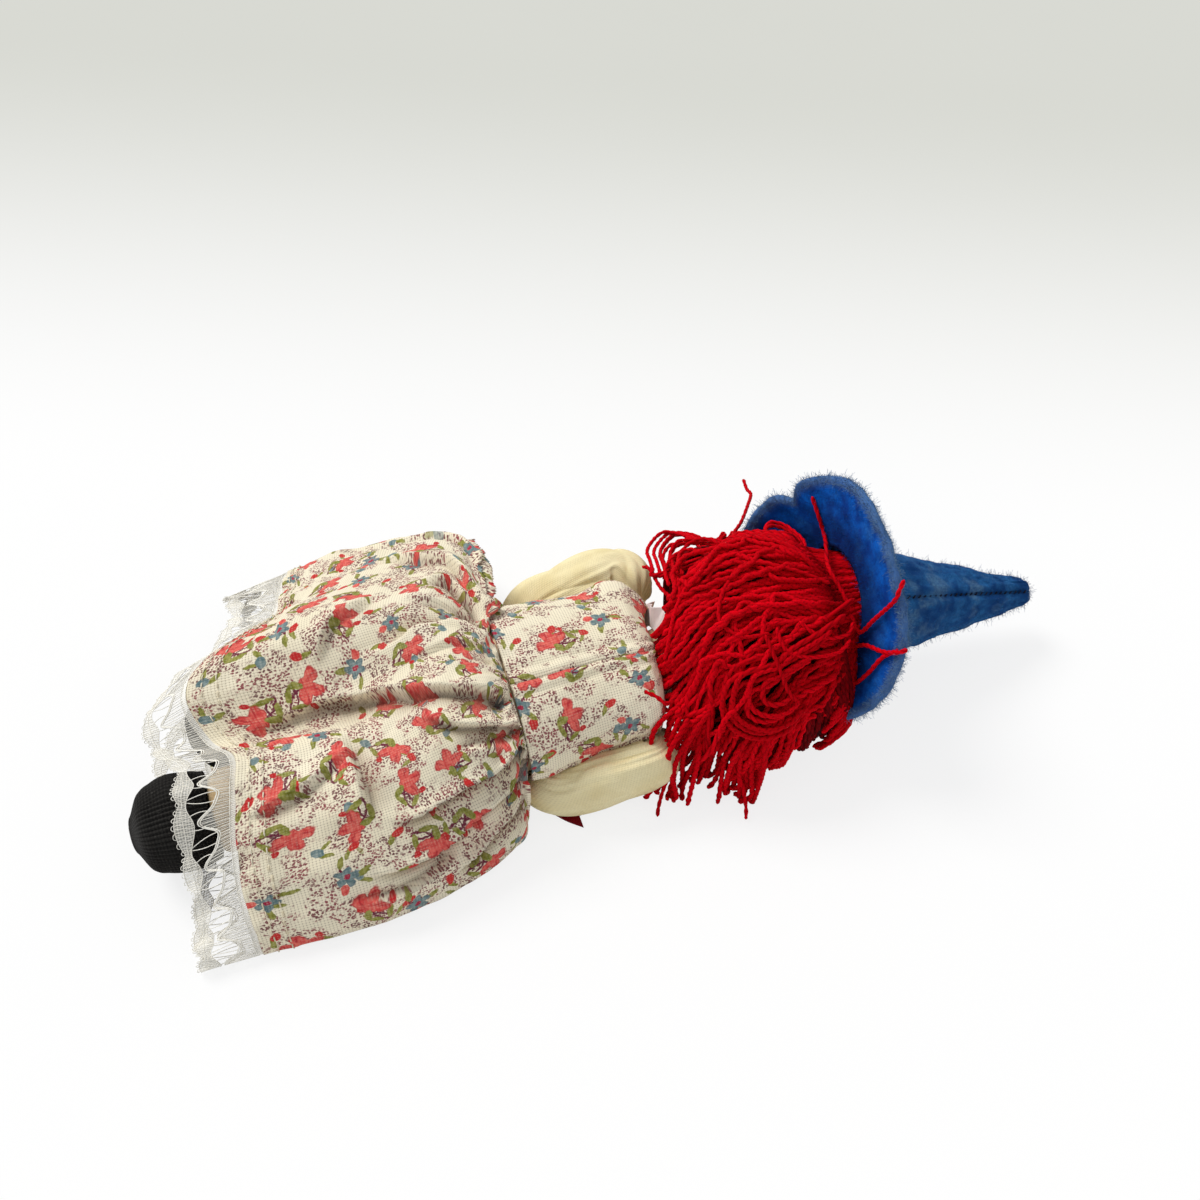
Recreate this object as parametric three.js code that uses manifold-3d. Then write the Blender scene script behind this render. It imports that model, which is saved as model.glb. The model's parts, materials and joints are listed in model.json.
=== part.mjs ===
// A soft cloth witch doll that lies face down on a table, in millimetres.
// +X runs from the feet to the tip of the hat, +Z is up from the table, and the
// doll's left side is on +Y. Sizes along the body are measured from the waist seam.
import * as THREE from 'three';
import { mergeVertices } from 'three/addons/utils/BufferGeometryUtils.js';
import Module from 'manifold-3d';

const wasm = await Module();
wasm.setup();

// Clearances
const GAP = 0.3; // between pieces that touch
const OVERRUN = 60; // how far a cutting block runs past what it cuts
const REST_CUT = 0.5; // how deep the soft pieces are flattened where they lie on the table

// Points round each kind of body
const BODY_AROUND = 24;
const LEG_AROUND = 16;
const ARM_AROUND = 12;
const SLEEVE_AROUND = 14;
const CONE_AROUND = 18;
const LUMP_AROUND = 16;

// Stuffed torso
const BODICE_LENGTH = 40; // waist seam to the top of the torso
const HIP_LENGTH = 18.2; // waist seam to the flat hip seam
const TORSO_WIDTH = 50;
const TORSO_DEPTH = 29.6;
const TORSO_HEIGHT = 21.5; // its middle, above the table
const HIP_HEIGHT = 15; // the hip seam, above the table
const NECK_HEIGHT = 25.5; // the neck's middle, above the table

// Neck and head
const NECK_RADIUS = 7.5;
const NECK_LENGTH = 7;
const HEAD_LENGTH = 49; // chin side to crown
const HEAD_RADIUS = 21.5;
const HEAD_SIDEWAYS = 3.5; // how far the head lies towards the right
const HEAD_HEIGHT = 24.5; // its middle, above the table
const HEAD_OVERLAP = 1.5; // how far the chin side sits down over the neck
const NOSE_RADIUS = 2.6;
const NOSE_LENGTH = 6.4;
const EYE_RADIUS = 2;
const EYE_SPACING = 14;
const EYE_BACK = 2; // the eyes' place towards the chin from the head's middle

// Arms and sleeves
const ARM_RADIUS = 5.5;
const WRIST_RADIUS = 3.6;
const HAND_RADIUS = 4.4;
const SHOULDER_ALONG = 40; // from the waist seam
const SHOULDER_OUT = 28.8; // from the middle of the body
const SHOULDER_HEIGHT = 16.5;
const SHOULDER_TILT = 3; // how far the left shoulder is raised, and the right one lowered
const LEFT_SPREAD = 1.4; // how much further out the left arm lies
const RIGHT_DRAW = 8; // how much nearer to the waist the right arm lies
const ELBOW_ALONG = 27;
const ELBOW_HEIGHT = 12.2;
const CUFF_ALONG = 16;
const CUFF_OUT = 26.8;
const CUFF_HEIGHT = 8.2;
const HAND_ALONG = 9;
const HAND_OUT = 18.5;
const HAND_HEIGHT = 5.8;
const SLEEVE_PUFF = 10.2; // half height of the sleeve where it is fullest
const SLEEVE_WIDTH = 7.4; // half width, so that it clears the bodice
const RIGHT_PRESS = 1.2; // how much narrower the right arm and sleeve are, pressed by the body
const RIGHT_SLEEVE_SINK = 1.6; // how much lower its puff is
const SLEEVE_CUFF = 6.8;
const SLEEVE_TOP = 7.6; // how far the sleeve's head reaches past the shoulder
const CLOTH = 0.9;

// Bodice, collar and ribbon bow
const BODICE_WALL = 1;
const BODICE_TOP = 39.4; // its upper edge, from the waist seam
const COLLAR_INNER = 8.2;
const COLLAR_OUTER = 16.4;
const COLLAR_ALONG = 41.6; // its inner edge, from the waist seam
const COLLAR_FLARE = 3.6;
const COLLAR_WAVE = 1.1;
const COLLAR_WAVES = 9;
const RIBBON_WIDTH = 6;
const RIBBON_WALL = 0.8;
const BOW_ALONG = 4.5; // middle of the bow, from the waist seam
const KNOT_LENGTH = 6;
const KNOT_HEIGHT = 4;
const LOOP_LENGTH = 13;
const LOOP_HEIGHT = 3.6;
const TAIL_REACH = 31.5; // how far the right tail's end lies from the middle of the body
const TAIL_RISE = 13.5; // how far the right tail's end lies from the waist seam
const TAIL_HIDDEN_REACH = 26;

// Legs and shoes
const LEG_RADIUS = 11.8;
const LEG_TOP_WIDTH = 19;
const LEG_HEIGHT = 14.2; // middle of a leg, above the table
const LEG_SPACING = 22; // between the middles of the two leg tops
const LEG_LENGTH = 60.4;
const RIGHT_FOOT_OUT = 8.5;
const LEFT_FOOT_OUT = 18.8;
const LEFT_KNEE_OUT = 19.5;
const LEFT_FOOT_PULL = 17.5; // how much less far the bent left leg reaches
const SHOE_RADIUS = 12.4;
const SHOE_LENGTH = 20;
const SHOE_HEIGHT = 14;

// Skirt and lace
const SKIRT_LENGTH = 80; // waist seam to the longest place of the hem
const SKIRT_NEAR = 45; // how far it spreads towards the right
const SKIRT_FAR = 77; // how far it spreads towards the left
const SKIRT_RISE = 38.8; // height of its highest fold
const SKIRT_WALL = 1.2;
const GATHER_DEPTH = 1;
const GATHERS = 6;
const SKIRT_AROUND = 52; // points round the skirt
const SKIRT_DOWN = 9; // steps from the waist to the hem
const LACE_WIDTH = 16;
const LACE_WALL = 0.9;
const LACE_SCALLOP = 1.2;

// Hair
const HAIR_WALL = 4;
const HAIR_DOWN = 3; // how far the back hair reaches below the head's middle
const HAIR_NECK_EDGE = 21; // its lower edge, from the head's middle towards the neck
const LOCK_LENGTH = 34;
const LOCK_WIDTH = 22;
const LOCK_HEIGHT = 23;
const LOCK_OUT = 22;
const RIGHT_LOCK_DRAW = 9; // how much nearer to the waist the right lock lies
const RIGHT_LOCK_SPREAD = 3; // how much further out the right lock lies

// Hat
const HAT_ALONG = 24; // hat's base from the head's middle
const HAT_HEIGHT = 27.5;
const HAT_SIDEWAYS = 4;
const HAT_DROOP = THREE.MathUtils.degToRad(12.7);
const HAT_YAW = THREE.MathUtils.degToRad(-2.3);
const CONE_RADIUS = 17.5;
const CONE_LENGTH = 62;
const TIP_RADIUS = 5.4;
const FELT = 2.2;
const BRIM_WIDTH = 19.5;
const BRIM_INNER = 16.6;
const BRIM_AROUND = 36; // points round the brim
const BRIM_STEPS = 4; // steps from its inner edge to its rim

// Shares of the torso's length, width and depth, from the hip seam to the neck
const torsoAlongShares = [0, 0.09, 0.19, 0.31, 0.43, 0.56, 0.69, 0.8, 0.88, 0.935, 0.975, 1];
const torsoWidthShares = [0.8, 0.88, 0.96, 1, 1, 0.96, 0.92, 0.89, 0.86, 0.79, 0.6, 0.36];
const torsoDepthShares = [0.02, 0.44, 0.81, 1, 1, 1, 0.98, 0.95, 0.9, 0.82, 0.7, 0.56];

// Share of the skirt's length over which its gathers die away, and the lace's rows of
// threads as shares of its width
const gatherShare = 0.8;
const laceRowShares = [0, 0.22, 0.45, 0.6, 0.82, 1];

// Shares of the skirt's length, height and spread at the waist, hips, middle and hem.
// Each row runs across the skirt from its near edge to its far edge.
const skirtAlongShares = [
  [0, 0, 0, 0, 0, 0, 0, 0, 0, 0, 0, 0, 0],
  [0.075, 0.1, 0.14, 0.165, 0.175, 0.175, 0.165, 0.15, 0.11, 0.06, 0.01, -0.03, -0.05],
  [0.5, 0.5, 0.5, 0.5, 0.5, 0.51, 0.525, 0.54, 0.5, 0.43, 0.38, 0.35, 0.34],
  [0.93, 0.94, 0.92, 0.89, 0.875, 0.945, 0.99, 0.925, 0.775, 0.67, 0.63, 0.6, 0.575],
];
const skirtTopShares = [
  [0.99, 0.99, 0.99, 0.99, 0.99, 0.99, 0.99, 0.99, 0.99, 0.99, 0.99, 0.99, 0.99],
  [0.3, 0.62, 0.87, 0.97, 1, 0.98, 1, 1, 0.93, 0.84, 0.79, 0.75, 0.7],
  [0.45, 0.66, 0.8, 0.82, 0.77, 0.66, 0.82, 0.94, 0.84, 0.7, 0.6, 0.55, 0.48],
  [0.36, 0.5, 0.67, 0.77, 0.77, 0.65, 0.81, 0.82, 0.7, 0.52, 0.42, 0.36, 0.28],
];
const skirtEdgeShares = [0.56, 0.13, 0.07, 0.055];
const skirtNearShares = [0.61, 0.85, 1, 0.98];
const skirtFarShares = [0.357, 0.83, 0.99, 1];
const skirtFloorShares = [0.085, 0, 0, 0];
// How the lace leaves the hem: towards the left and down to the table, in degrees
const laceHeadings = [0, 0, 0, 0, 3, 8, 8, 15, 28, 36, 36, 36, 36];
const laceDroops = [0, 33, 20, 0, 0, 14, 35, 42, 40, 30, 25, 18, 0];

// How far the brim leans back towards the feet at steps of 30 degrees, from the
// top round by the doll's left side, in degrees, and its width there as a share
const brimLeans = [4, 4, 24, 44, 38, 40, 46, 50, 34, 4, -4, 2];
const brimWidthShares = [0.97, 0.97, 1, 1.1, 0.96, 0.9, 0.96, 1.04, 0.9, 0.84, 0.88, 0.94];

// Shares of the arm's and hand's radius from the shoulder to the fingers
const shoulderShare = 0.8;
const armRadiusShares = [0.3, 0.96, 1, 0.98, 0.92];
const handRadiusShares = [1, 0.57];
const fingerShare = 0.16;
const handFlatShare = 0.8;

// Shares of the sleeve's half width and half height from its head to its cuff
const sleeveWidthShares = [0.5, 0.86, 0.98, 1, 1, 1, 1];
const sleeveHeightShares = [0.3, 0.72, 0.92, 1, 0.98, 0.86];

// Shares of a leg's reach, of its way from hip to knee and knee to foot, and of its radius
const legReachShares = [0.14, 0.5, 0.84];
const hipToKneeShare = 0.12;
const kneeToFootShare = 0.85;
const legWidthShares = [0.84, 0.94, 0.98, 1, 0.99, 0.96, 0.92];
const legHeightShares = [0.02, 0.62, 0.92, 1, 1, 0.99, 0.96, 0.92];
const shoeRadiusShares = [0.93, 0.99, 1, 0.99, 0.93, 0.8, 0.3];

// Shares of a bow loop's half width and half height from the knot outwards
const loopWidthShares = [0.45, 0.75, 0.95, 1, 1];
const loopHeightShares = [0.5, 0.9, 1, 0.85, 0.45];
const tailBendShare = 0.6;

// Shares of the hat cone's length, and of its tip's radius and length
const coneAlongShares = [0, 0.14, 0.32, 0.52, 0.72, 0.88];
const tipRadiusShares = [0.8, 0.4, 0];
const tipAlongShares = [0.95, 0.99, 1];
const coneHollowShare = 0.84;
const stuffingShare = 0.78;

// Share of the torso's length where the neck starts to rise
const neckRiseShare = 0.7;

// Shares of the head's length and radius, from the chin side to the crown
const headAlongShares = [0, 0.02, 0.07, 0.15, 0.27, 0.42, 0.56, 0.7, 0.82, 0.91, 0.97, 1];
const headRadiusShares = [0, 0.36, 0.6, 0.8, 0.95, 1, 0.99, 0.92, 0.77, 0.57, 0.34, 0];

// Value of a smooth curve through evenly spaced values, at a share of the way along
function spline(values, share) {
  const place = Math.min(Math.max(share, 0), 1) * (values.length - 1);
  const low = Math.min(Math.floor(place), values.length - 2);
  const f = place - low;
  const at = (i) => values[Math.min(Math.max(i, 0), values.length - 1)];
  const [a, b, c, d] = [at(low - 1), at(low), at(low + 1), at(low + 2)];
  return b + (f / 2) * (c - a + f * (2 * a - 5 * b + 4 * c - d + f * (3 * (b - c) + d - a)));
}

// The same through values on a closed loop
function loopSpline(values, share) {
  const place = (share - Math.floor(share)) * values.length;
  const low = Math.floor(place);
  const f = place - low;
  const at = (i) => values[(i + values.length) % values.length];
  const [a, b, c, d] = [at(low - 1), at(low), at(low + 1), at(low + 2)];
  return b + (f / 2) * (c - a + f * (2 * a - 5 * b + 4 * c - d + f * (3 * (b - c) + d - a)));
}

// A closed body from its points and faces, with its faces turned outwards
function bodyFrom(points, faces) {
  let volume = 0;
  for (const [a, b, c] of faces) {
    volume += points[a].dot(new THREE.Vector3().crossVectors(points[b], points[c]));
  }
  const index = faces.flatMap(([a, b, c]) => (volume > 0 ? [a, b, c] : [a, c, b]));
  const geometry = new THREE.BufferGeometry();
  geometry.setAttribute('position', new THREE.Float32BufferAttribute(points.flatMap((p) => p.toArray()), 3));
  geometry.setIndex(index);
  return geometry;
}

// Two triangles for each cell between two rows of points
function weave(faces, rowA, rowB, closed) {
  const count = closed ? rowA.length : rowA.length - 1;
  for (let i = 0; i < count; i++) {
    const j = (i + 1) % rowA.length;
    faces.push([rowA[i], rowA[j], rowB[j]], [rowA[i], rowB[j], rowB[i]]);
  }
}

// Rows of numbered points
function numbered(points, rows) {
  return rows.map((row) => row.map((point) => points.push(point) - 1));
}

// A body with round sections, closed at both ends by a point in the ring's middle
function skin(rings) {
  const points = [];
  const faces = [];
  const rows = numbered(points, rings);
  for (let i = 0; i + 1 < rows.length; i++) weave(faces, rows[i], rows[i + 1], true);
  for (const [ring, row, flip] of [[rings[0], rows[0], true], [rings.at(-1), rows.at(-1), false]]) {
    const middle = ring.reduce((sum, p) => sum.add(p), new THREE.Vector3()).divideScalar(ring.length);
    const centre = points.push(middle) - 1;
    for (let i = 0; i < row.length; i++) {
      const j = (i + 1) % row.length;
      faces.push(flip ? [row[j], row[i], centre] : [row[i], row[j], centre]);
    }
  }
  return bodyFrom(points, faces);
}

// A hollow tube with open ends, or with its first end closed by a dome
function sleeveBody(outer, inner, domed) {
  const points = [];
  const faces = [];
  const out = numbered(points, outer);
  const ins = numbered(points, inner);
  for (let i = 0; i + 1 < out.length; i++) weave(faces, out[i], out[i + 1], true);
  for (let i = 0; i + 1 < ins.length; i++) weave(faces, ins[i + 1], ins[i], true);
  weave(faces, out.at(-1), ins.at(-1), true);
  if (!domed) {
    weave(faces, ins[0], out[0], true);
    return bodyFrom(points, faces);
  }
  for (const [ring, row, flip] of [[outer[0], out[0], true], [inner[0], ins[0], false]]) {
    const middle = ring.reduce((sum, p) => sum.add(p), new THREE.Vector3()).divideScalar(ring.length);
    const centre = points.push(middle) - 1;
    for (let i = 0; i < row.length; i++) {
      const j = (i + 1) % row.length;
      faces.push(flip ? [row[j], row[i], centre] : [row[i], row[j], centre]);
    }
  }
  return bodyFrom(points, faces);
}

// A curved panel with a wall, from its outer and inner grids of points
function panel(outer, inner) {
  const points = [];
  const faces = [];
  const out = numbered(points, outer);
  const ins = numbered(points, inner);
  for (let i = 0; i + 1 < out.length; i++) {
    weave(faces, out[i], out[i + 1], false);
    weave(faces, ins[i + 1], ins[i], false);
  }
  weave(faces, out.at(-1), ins.at(-1), false);
  weave(faces, ins[0], out[0], false);
  weave(faces, out.map((row) => row[0]), ins.map((row) => row[0]), false);
  weave(faces, ins.map((row) => row.at(-1)), out.map((row) => row.at(-1)), false);
  return bodyFrom(points, faces);
}

// Solids for joining and cutting
function solidOf(geometry) {
  const bare = geometry.clone();
  bare.deleteAttribute('normal');
  bare.deleteAttribute('uv');
  const merged = mergeVertices(bare);
  return new wasm.Manifold(new wasm.Mesh({
    numProp: 3,
    vertProperties: new Float32Array(merged.attributes.position.array),
    triVerts: new Uint32Array(merged.index.array),
  }));
}

function geometryOf(solid) {
  const mesh = solid.getMesh();
  const geometry = new THREE.BufferGeometry();
  geometry.setAttribute('position', new THREE.BufferAttribute(new Float32Array(mesh.vertProperties), 3));
  geometry.setIndex(new THREE.BufferAttribute(new Uint32Array(mesh.triVerts), 1));
  return geometry;
}

function cut(geometry, ...cutters) {
  return geometryOf(cutters.reduce((solid, cutter) => solid.subtract(solidOf(cutter)), solidOf(geometry)));
}

function block(low, high) {
  const size = new THREE.Vector3().subVectors(high, low);
  const middle = new THREE.Vector3().addVectors(low, high).multiplyScalar(0.5);
  return new THREE.BoxGeometry(size.x, size.y, size.z).translate(middle.x, middle.y, middle.z);
}

// A ball with three different radii
function egg(radii, centre, around = 20, along = 12) {
  const ball = new THREE.SphereGeometry(1, around, along);
  return ball.scale(radii.x, radii.y, radii.z).translate(centre.x, centre.y, centre.z);
}

// A lathe turned about the X axis
function turnedAlongX(profile, segments) {
  return new THREE.LatheGeometry(profile, segments).rotateZ(-Math.PI / 2);
}

// Rings square to a path, each with its own half width and half height
function ringsAlong(path, halfWidths, halfHeights, count, around) {
  const rings = [];
  for (let i = 0; i <= count; i++) {
    const share = i / count;
    const middle = path.getPoint(share);
    const ahead = path.getTangent(share);
    const side = new THREE.Vector3(0, 0, 1).cross(ahead).normalize();
    const up = new THREE.Vector3().crossVectors(ahead, side);
    const wide = spline(halfWidths, share);
    const tall = spline(halfHeights, share);
    rings.push(Array.from({ length: around }, (_, k) => {
      const turn = (2 * Math.PI * k) / around;
      const point = middle.clone().addScaledVector(side, wide * Math.cos(turn));
      return point.addScaledVector(up, tall * Math.sin(turn));
    }));
  }
  return rings;
}

// Torso: middle height and half sizes of its section at a share of its length
const torsoLength = BODICE_LENGTH + HIP_LENGTH;

function shareTable(shares, places, share) {
  let i = 0;
  while (i + 2 < places.length && places[i + 1] < share) i++;
  const f = (share - places[i]) / (places[i + 1] - places[i]);
  return shares[i] + (shares[i + 1] - shares[i]) * f;
}

function torsoMiddle(share) {
  const toWaist = Math.min(share * torsoLength / HIP_LENGTH, 1);
  const rise = THREE.MathUtils.smoothstep(share, neckRiseShare, 1);
  const low = THREE.MathUtils.lerp(HIP_HEIGHT, TORSO_HEIGHT, toWaist);
  return THREE.MathUtils.lerp(low, NECK_HEIGHT, rise);
}

function torsoPoint(along, turn, outside) {
  const share = (along + HIP_LENGTH) / torsoLength;
  const wide = shareTable(torsoWidthShares, torsoAlongShares, share) * TORSO_WIDTH / 2 + outside;
  const deep = shareTable(torsoDepthShares, torsoAlongShares, share) * TORSO_DEPTH / 2 + outside;
  const drift = -HEAD_SIDEWAYS * THREE.MathUtils.smoothstep(share, neckRiseShare, 1);
  return new THREE.Vector3(along, drift + wide * Math.sin(turn), torsoMiddle(share) + deep * Math.cos(turn));
}

function makeTorso() {
  const rings = torsoAlongShares.map((share) => Array.from({ length: BODY_AROUND }, (_, k) =>
    torsoPoint(share * torsoLength - HIP_LENGTH, (2 * Math.PI * k) / BODY_AROUND, 0)));
  return skin(rings);
}

// A bodice panel between two angles from the middle of the back, positive towards the left
function makeBodicePanel(fromDeg, toDeg) {
  const edge = GAP / 2 / (TORSO_WIDTH / 2);
  const from = THREE.MathUtils.degToRad(fromDeg) + edge;
  const to = THREE.MathUtils.degToRad(toDeg) - edge;
  const steps = Math.ceil((toDeg - fromDeg) / 15);
  const stations = torsoAlongShares.map((share) => share * torsoLength - HIP_LENGTH);
  const between = stations.filter((along) => along > GAP && along < BODICE_TOP);
  const alongs = [GAP, ...between, BODICE_TOP];
  const grid = (outside) => alongs.map((along) => Array.from({ length: steps + 1 }, (_, k) =>
    torsoPoint(along, THREE.MathUtils.lerp(from, to, k / steps), outside)));
  return panel(grid(GAP + BODICE_WALL), grid(GAP));
}

// Head: turned along X about its middle, grown by a clearance where it cuts others
function makeHead(grown) {
  const profile = headAlongShares.map((share, i) => new THREE.Vector2(
    i === 0 || i === headAlongShares.length - 1 ? 0 : headRadiusShares[i] * HEAD_RADIUS + grown,
    (share - 0.5) * (HEAD_LENGTH + 2 * grown),
  ));
  return turnedAlongX(profile, BODY_AROUND);
}

const headMiddle = new THREE.Vector3(
  BODICE_LENGTH + NECK_LENGTH - HEAD_OVERLAP + HEAD_LENGTH / 2, -HEAD_SIDEWAYS, HEAD_HEIGHT);

function headInPlace(grown) {
  return makeHead(grown).translate(headMiddle.x, headMiddle.y, headMiddle.z);
}

function makeNeck() {
  const length = NECK_LENGTH + HEAD_OVERLAP;
  const rod = new THREE.CylinderGeometry(NECK_RADIUS, NECK_RADIUS, length, 20).rotateZ(-Math.PI / 2);
  rod.translate(BODICE_LENGTH + GAP + length / 2, -HEAD_SIDEWAYS, NECK_HEIGHT);
  return cut(rod, headInPlace(GAP));
}

// Facial features are beads whose backs follow the head
function makeNose() {
  const centre = new THREE.Vector3(headMiddle.x, headMiddle.y, HEAD_HEIGHT - HEAD_RADIUS);
  const bead = egg(new THREE.Vector3(NOSE_LENGTH / 2, NOSE_RADIUS, NOSE_RADIUS), centre, 12, 8);
  return cut(bead, headInPlace(GAP));
}

function makeEye(side) {
  const out = EYE_SPACING / 2;
  const down = Math.sqrt(HEAD_RADIUS ** 2 - out ** 2);
  const centre = new THREE.Vector3(headMiddle.x - EYE_BACK, headMiddle.y + side * out, HEAD_HEIGHT - down);
  return cut(egg(new THREE.Vector3(EYE_RADIUS, EYE_RADIUS, EYE_RADIUS), centre, 10, 8), headInPlace(GAP));
}

// The arm hangs from the shoulder along the body, and its hand lies under the belly's edge
function shoulderPlace(side) {
  const along = side < 0 ? SHOULDER_ALONG - RIGHT_DRAW : SHOULDER_ALONG;
  const out = side < 0 ? -SHOULDER_OUT : SHOULDER_OUT + LEFT_SPREAD;
  return new THREE.Vector3(along, out, SHOULDER_HEIGHT + side * SHOULDER_TILT);
}

function elbowPlace(side) {
  const shoulder = shoulderPlace(side);
  const along = shoulder.x - (SHOULDER_ALONG - ELBOW_ALONG);
  return new THREE.Vector3(along, shoulder.y, ELBOW_HEIGHT + side * SHOULDER_TILT / 2);
}

function cuffPlace(side, up) {
  const shoulder = shoulderPlace(side);
  const along = shoulder.x - (SHOULDER_ALONG - CUFF_ALONG);
  return new THREE.Vector3(along, shoulder.y - side * (SHOULDER_OUT - CUFF_OUT), CUFF_HEIGHT + up);
}

function armPath(side) {
  const shoulder = shoulderPlace(side);
  return new THREE.CatmullRomCurve3([
    shoulder.clone().add(new THREE.Vector3(ARM_RADIUS * shoulderShare, 0, 0)),
    shoulder,
    elbowPlace(side),
    cuffPlace(side, 0),
    new THREE.Vector3(shoulder.x - (SHOULDER_ALONG - HAND_ALONG), side * HAND_OUT, HAND_HEIGHT),
  ]);
}

function makeArm(side) {
  const thick = side < 0 ? ARM_RADIUS - RIGHT_PRESS : ARM_RADIUS;
  const arm = armRadiusShares.map((share) => share * thick);
  const hand = handRadiusShares.map((share) => share * HAND_RADIUS);
  const radii = [...arm, WRIST_RADIUS, ...hand, HAND_RADIUS * fingerShare];
  const flat = HAND_RADIUS * handFlatShare;
  const heights = radii.map((radius, i) => (i > arm.length ? Math.min(radius, flat) : radius));
  return skin(ringsAlong(armPath(side), radii, heights, 11, ARM_AROUND));
}

function makeSleeve(side) {
  const shoulder = shoulderPlace(side);
  const path = new THREE.CatmullRomCurve3([
    shoulder.clone().add(new THREE.Vector3(SLEEVE_TOP, 0, 0)),
    shoulder,
    elbowPlace(side),
    cuffPlace(side, GAP),
  ]);
  const width = side < 0 ? SLEEVE_WIDTH - RIGHT_PRESS : SLEEVE_WIDTH;
  const puff = side < 0 ? SLEEVE_PUFF - RIGHT_SLEEVE_SINK : SLEEVE_PUFF;
  const widths = sleeveWidthShares.map((share) => share * width);
  const heights = [...sleeveHeightShares.map((share) => share * puff), SLEEVE_CUFF];
  const thinner = (sizes) => sizes.map((size) => size - CLOTH);
  const outer = ringsAlong(path, widths, heights, 7, SLEEVE_AROUND);
  const inner = ringsAlong(path, thinner(widths), thinner(heights), 7, SLEEVE_AROUND);
  inner[0].forEach((point) => { point.x -= CLOTH; });
  return sleeveBody(outer, inner, true);
}

// Collar: a waved frill round the neck
function makeCollar() {
  const around = COLLAR_WAVES * 4;
  const grid = (shift) => [0, 1].map((share) => Array.from({ length: around }, (_, k) => {
    const turn = (2 * Math.PI * k) / around;
    const radius = THREE.MathUtils.lerp(COLLAR_INNER, COLLAR_OUTER, share);
    const wave = COLLAR_WAVE * share * Math.sin(COLLAR_WAVES * turn);
    const along = COLLAR_ALONG + COLLAR_FLARE * share + wave + shift;
    const across = -HEAD_SIDEWAYS + radius * Math.sin(turn);
    return new THREE.Vector3(along, across, NECK_HEIGHT + radius * Math.cos(turn));
  }));
  return sleeveBody(grid(0), grid(-CLOTH), false);
}

// Ribbon bow under the waist: a knot, two loops and two notched tails
function makeKnot() {
  const centre = new THREE.Vector3(BOW_ALONG, 0, RIBBON_WALL + GAP + KNOT_HEIGHT / 2);
  return egg(new THREE.Vector3(RIBBON_WIDTH / 2, KNOT_LENGTH / 2, KNOT_HEIGHT / 2), centre, 12, 8);
}

function makeLoop(side) {
  const start = KNOT_LENGTH / 2 + GAP;
  const height = RIBBON_WALL + GAP + LOOP_HEIGHT / 2;
  const path = new THREE.LineCurve3(
    new THREE.Vector3(BOW_ALONG, side * start, height),
    new THREE.Vector3(BOW_ALONG, side * (start + LOOP_LENGTH), height));
  const widths = loopWidthShares.map((share) => share * RIBBON_WIDTH / 2);
  const heights = loopHeightShares.map((share) => share * LOOP_HEIGHT / 2);
  return skin(ringsAlong(path, widths, heights, 6, 10));
}

function makeTail(side, reach, rise) {
  const start = RIBBON_WIDTH / 2 + GAP;
  const root = new THREE.Vector2(BOW_ALONG - start, side * start);
  const bend = new THREE.Vector2(BOW_ALONG - RIBBON_WIDTH, side * reach * tailBendShare);
  const end = new THREE.Vector2(rise, side * reach);
  const curve = new THREE.QuadraticBezierCurve(root, bend, end);
  const half = RIBBON_WIDTH / 2;
  const left = [];
  const right = [];
  const steps = 8;
  for (let i = 0; i <= steps; i++) {
    const middle = curve.getPoint(i / steps);
    const across = curve.getTangent(i / steps).rotateAround(new THREE.Vector2(), Math.PI / 2);
    left.push(middle.clone().addScaledVector(across, half));
    right.unshift(middle.clone().addScaledVector(across, -half));
  }
  const notch = curve.getPoint(1 - half / reach);
  const outline = new THREE.Shape([...left, notch, ...right]);
  return new THREE.ExtrudeGeometry(outline, { depth: RIBBON_WALL, bevelEnabled: false });
}

// Legs start at a flat hip seam, swell and taper to the ankle
function legPath(side) {
  const hip = -HIP_LENGTH - 2 * GAP;
  const root = side * LEG_SPACING / 2;
  const foot = side < 0 ? -RIGHT_FOOT_OUT : LEFT_FOOT_OUT;
  const knee = side < 0 ? -(LEG_SPACING / 2 + RIGHT_FOOT_OUT) / 2 : LEFT_KNEE_OUT;
  const reach = side < 0 ? LEG_LENGTH : LEG_LENGTH - LEFT_FOOT_PULL;
  const thigh = THREE.MathUtils.lerp(root, knee, hipToKneeShare);
  const shin = THREE.MathUtils.lerp(knee, foot, kneeToFootShare);
  return new THREE.CatmullRomCurve3([
    new THREE.Vector3(hip, root, HIP_HEIGHT),
    new THREE.Vector3(hip - reach * legReachShares[0], thigh, LEG_HEIGHT),
    new THREE.Vector3(hip - reach * legReachShares[1], knee, LEG_HEIGHT),
    new THREE.Vector3(hip - reach * legReachShares[2], shin, LEG_HEIGHT),
    new THREE.Vector3(hip - reach, foot, LEG_HEIGHT),
  ]);
}

function makeLeg(side) {
  const widths = [LEG_TOP_WIDTH / 2, ...legWidthShares.map((share) => share * LEG_RADIUS)];
  const heights = legHeightShares.map((share) => share * LEG_RADIUS);
  const rings = ringsAlong(legPath(side), widths, heights, 11, LEG_AROUND);
  const path = legPath(side);
  rings[0].forEach((point) => { point.x = path.getPoint(0).x; });
  rings.at(-1).forEach((point) => { point.x = path.getPoint(1).x; });
  return skin(rings);
}

function makeShoe(side) {
  const ankle = legPath(side).getPoint(1);
  const start = new THREE.Vector3(ankle.x - GAP, ankle.y, SHOE_HEIGHT);
  const end = start.clone().add(new THREE.Vector3(-SHOE_LENGTH, 0, 0));
  const radii = shoeRadiusShares.map((share) => share * SHOE_RADIUS);
  return skin(ringsAlong(new THREE.LineCurve3(start, end), radii, radii, 8, LEG_AROUND));
}

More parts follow.
